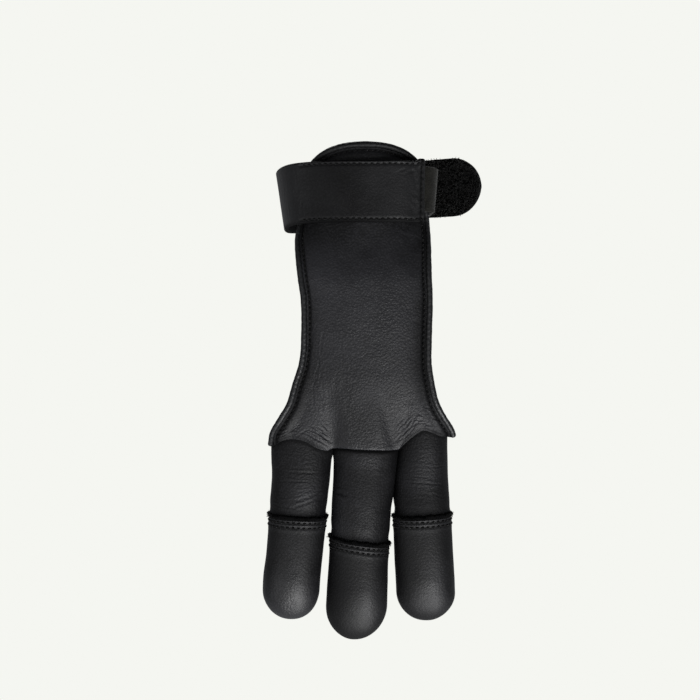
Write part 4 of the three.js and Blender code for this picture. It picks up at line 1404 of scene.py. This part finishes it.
MATERIALS.update({label: fibrous(*row) for label, row in FIBRES.items()})


# Stage, light and camera

BACKDROP = (0.913, 0.921, 0.88)
FLOOR_HALF = 2.5
FLOOR_LEVEL = -1.1
FLOOR_GLOW = 0.85
# Even light from all round: its strength in front and behind, the directions it changes between,
# and what comes from below
AMBIENT_COLOR = (0.95, 0.97, 1.0, 1)
AMBIENT_FRONT = 0.09
AMBIENT_BACK = 0.25
AMBIENT_FROM = -0.2
AMBIENT_TO = 0.7
AMBIENT_DOWN = 0.22
AMBIENT_DOWN_FROM = 0.45
AMBIENT_DOWN_TO = 0.95


def make_stage():
    nodes = Nodes(bpy.data.materials.new("pale_floor"), "Material")
    faint = nodes.noise(nodes.add("TexCoord").outputs["Object"], 6.0, 2.0)
    color = nodes.mix(faint, (0.80, 0.805, 0.775, 1), (0.84, 0.845, 0.815, 1))
    material = nodes.close("BsdfPrincipled", {
        "Base Color": color, "Roughness": 0.9, "Emission Color": color, "Emission Strength": FLOOR_GLOW,
    })
    mesh = bpy.data.meshes.new("floor")
    sides = ((-1, -1), (1, -1), (1, 1), (-1, 1))
    corners = [(x * FLOOR_HALF, y * FLOOR_HALF, FLOOR_LEVEL) for x, y in sides]
    mesh.from_pydata(corners, [], [(0, 1, 2, 3)])
    mesh.materials.append(material)
    floor = put_in_scene("floor", mesh)
    floor.visible_diffuse = False
    floor.visible_glossy = False


def make_world():
    """Pale backdrop for the camera; a dim front and a bright back for the light on the leather."""
    world = bpy.data.worlds.new("studio")
    bpy.context.scene.world = world
    nodes = Nodes(world, "World")
    where = nodes.add("TexCoord").outputs["Generated"]
    parts = nodes.add("SeparateXYZ", {0: where}).outputs
    behind = nodes.remap(
        parts[1], AMBIENT_FROM, AMBIENT_TO, AMBIENT_FRONT, AMBIENT_BACK, "SMOOTHSTEP"
    )
    below = nodes.remap(
        parts[2], -AMBIENT_DOWN_FROM, -AMBIENT_DOWN_TO, 0.0, AMBIENT_DOWN, "SMOOTHSTEP"
    )
    ambient = nodes.add("Background", {0: AMBIENT_COLOR, 1: nodes.math("ADD", behind, below)})
    seen = nodes.add("Background", {0: (*BACKDROP, 1)})
    camera_ray = nodes.add("LightPath").outputs["Is Camera Ray"]
    nodes.close("MixShader", {0: camera_ray, 1: ambient.outputs[0], 2: seen.outputs[0]})


# Lights: name, place, size and watts, all aimed at one point; then the camera's place and lens
LIGHTS = [
    ("key", (0.2, -0.64, -0.65), (0.36, 0.75), 6.1),
    ("fill", (-0.6, -0.7, -0.25), (0.6, 0.6), 0.95),
    ("back", (-0.15, 0.8, 0.8), (0.5, 0.35), 6.0),
]
LIT_POINT = (-0.002, -0.01, -0.085)
EYE = (-0.0062, -0.5, -0.06665)
LENS = 59.8
SENSOR = 36.0


def make_lights():
    for name, place, size, watts in LIGHTS:
        light = bpy.data.lights.new(name, "AREA")
        light.shape = "RECTANGLE"
        light.size, light.size_y = size
        light.energy = watts
        lamp = put_in_scene(name, light)
        lamp.location = place
        direction = mathutils.Vector(LIT_POINT) - lamp.location
        lamp.rotation_mode = "QUATERNION"
        lamp.rotation_quaternion = direction.to_track_quat("-Z", "Y")


def make_camera():
    camera = bpy.data.cameras.new("camera")
    camera.lens = LENS
    camera.sensor_width = SENSOR
    camera.clip_start = 0.01
    camera.clip_end = 20.0
    eye = put_in_scene("camera", camera)
    eye.location = EYE
    eye.rotation_euler = (math.radians(90), 0, 0)
    bpy.context.scene.camera = eye


def main():
    set_row()
    make_panel()
    make_edging()
    make_edging_stitches()
    for finger in FINGERS:
        make_sleeve(finger)
        make_cap(finger)
        make_cap_edge(finger)
    make_strap()
    make_elastic()
    make_pile()
    make_hooks()
    make_stage()
    make_world()
    make_lights()
    make_camera()
    bpy.context.scene.view_settings.view_transform = "Standard"


main()
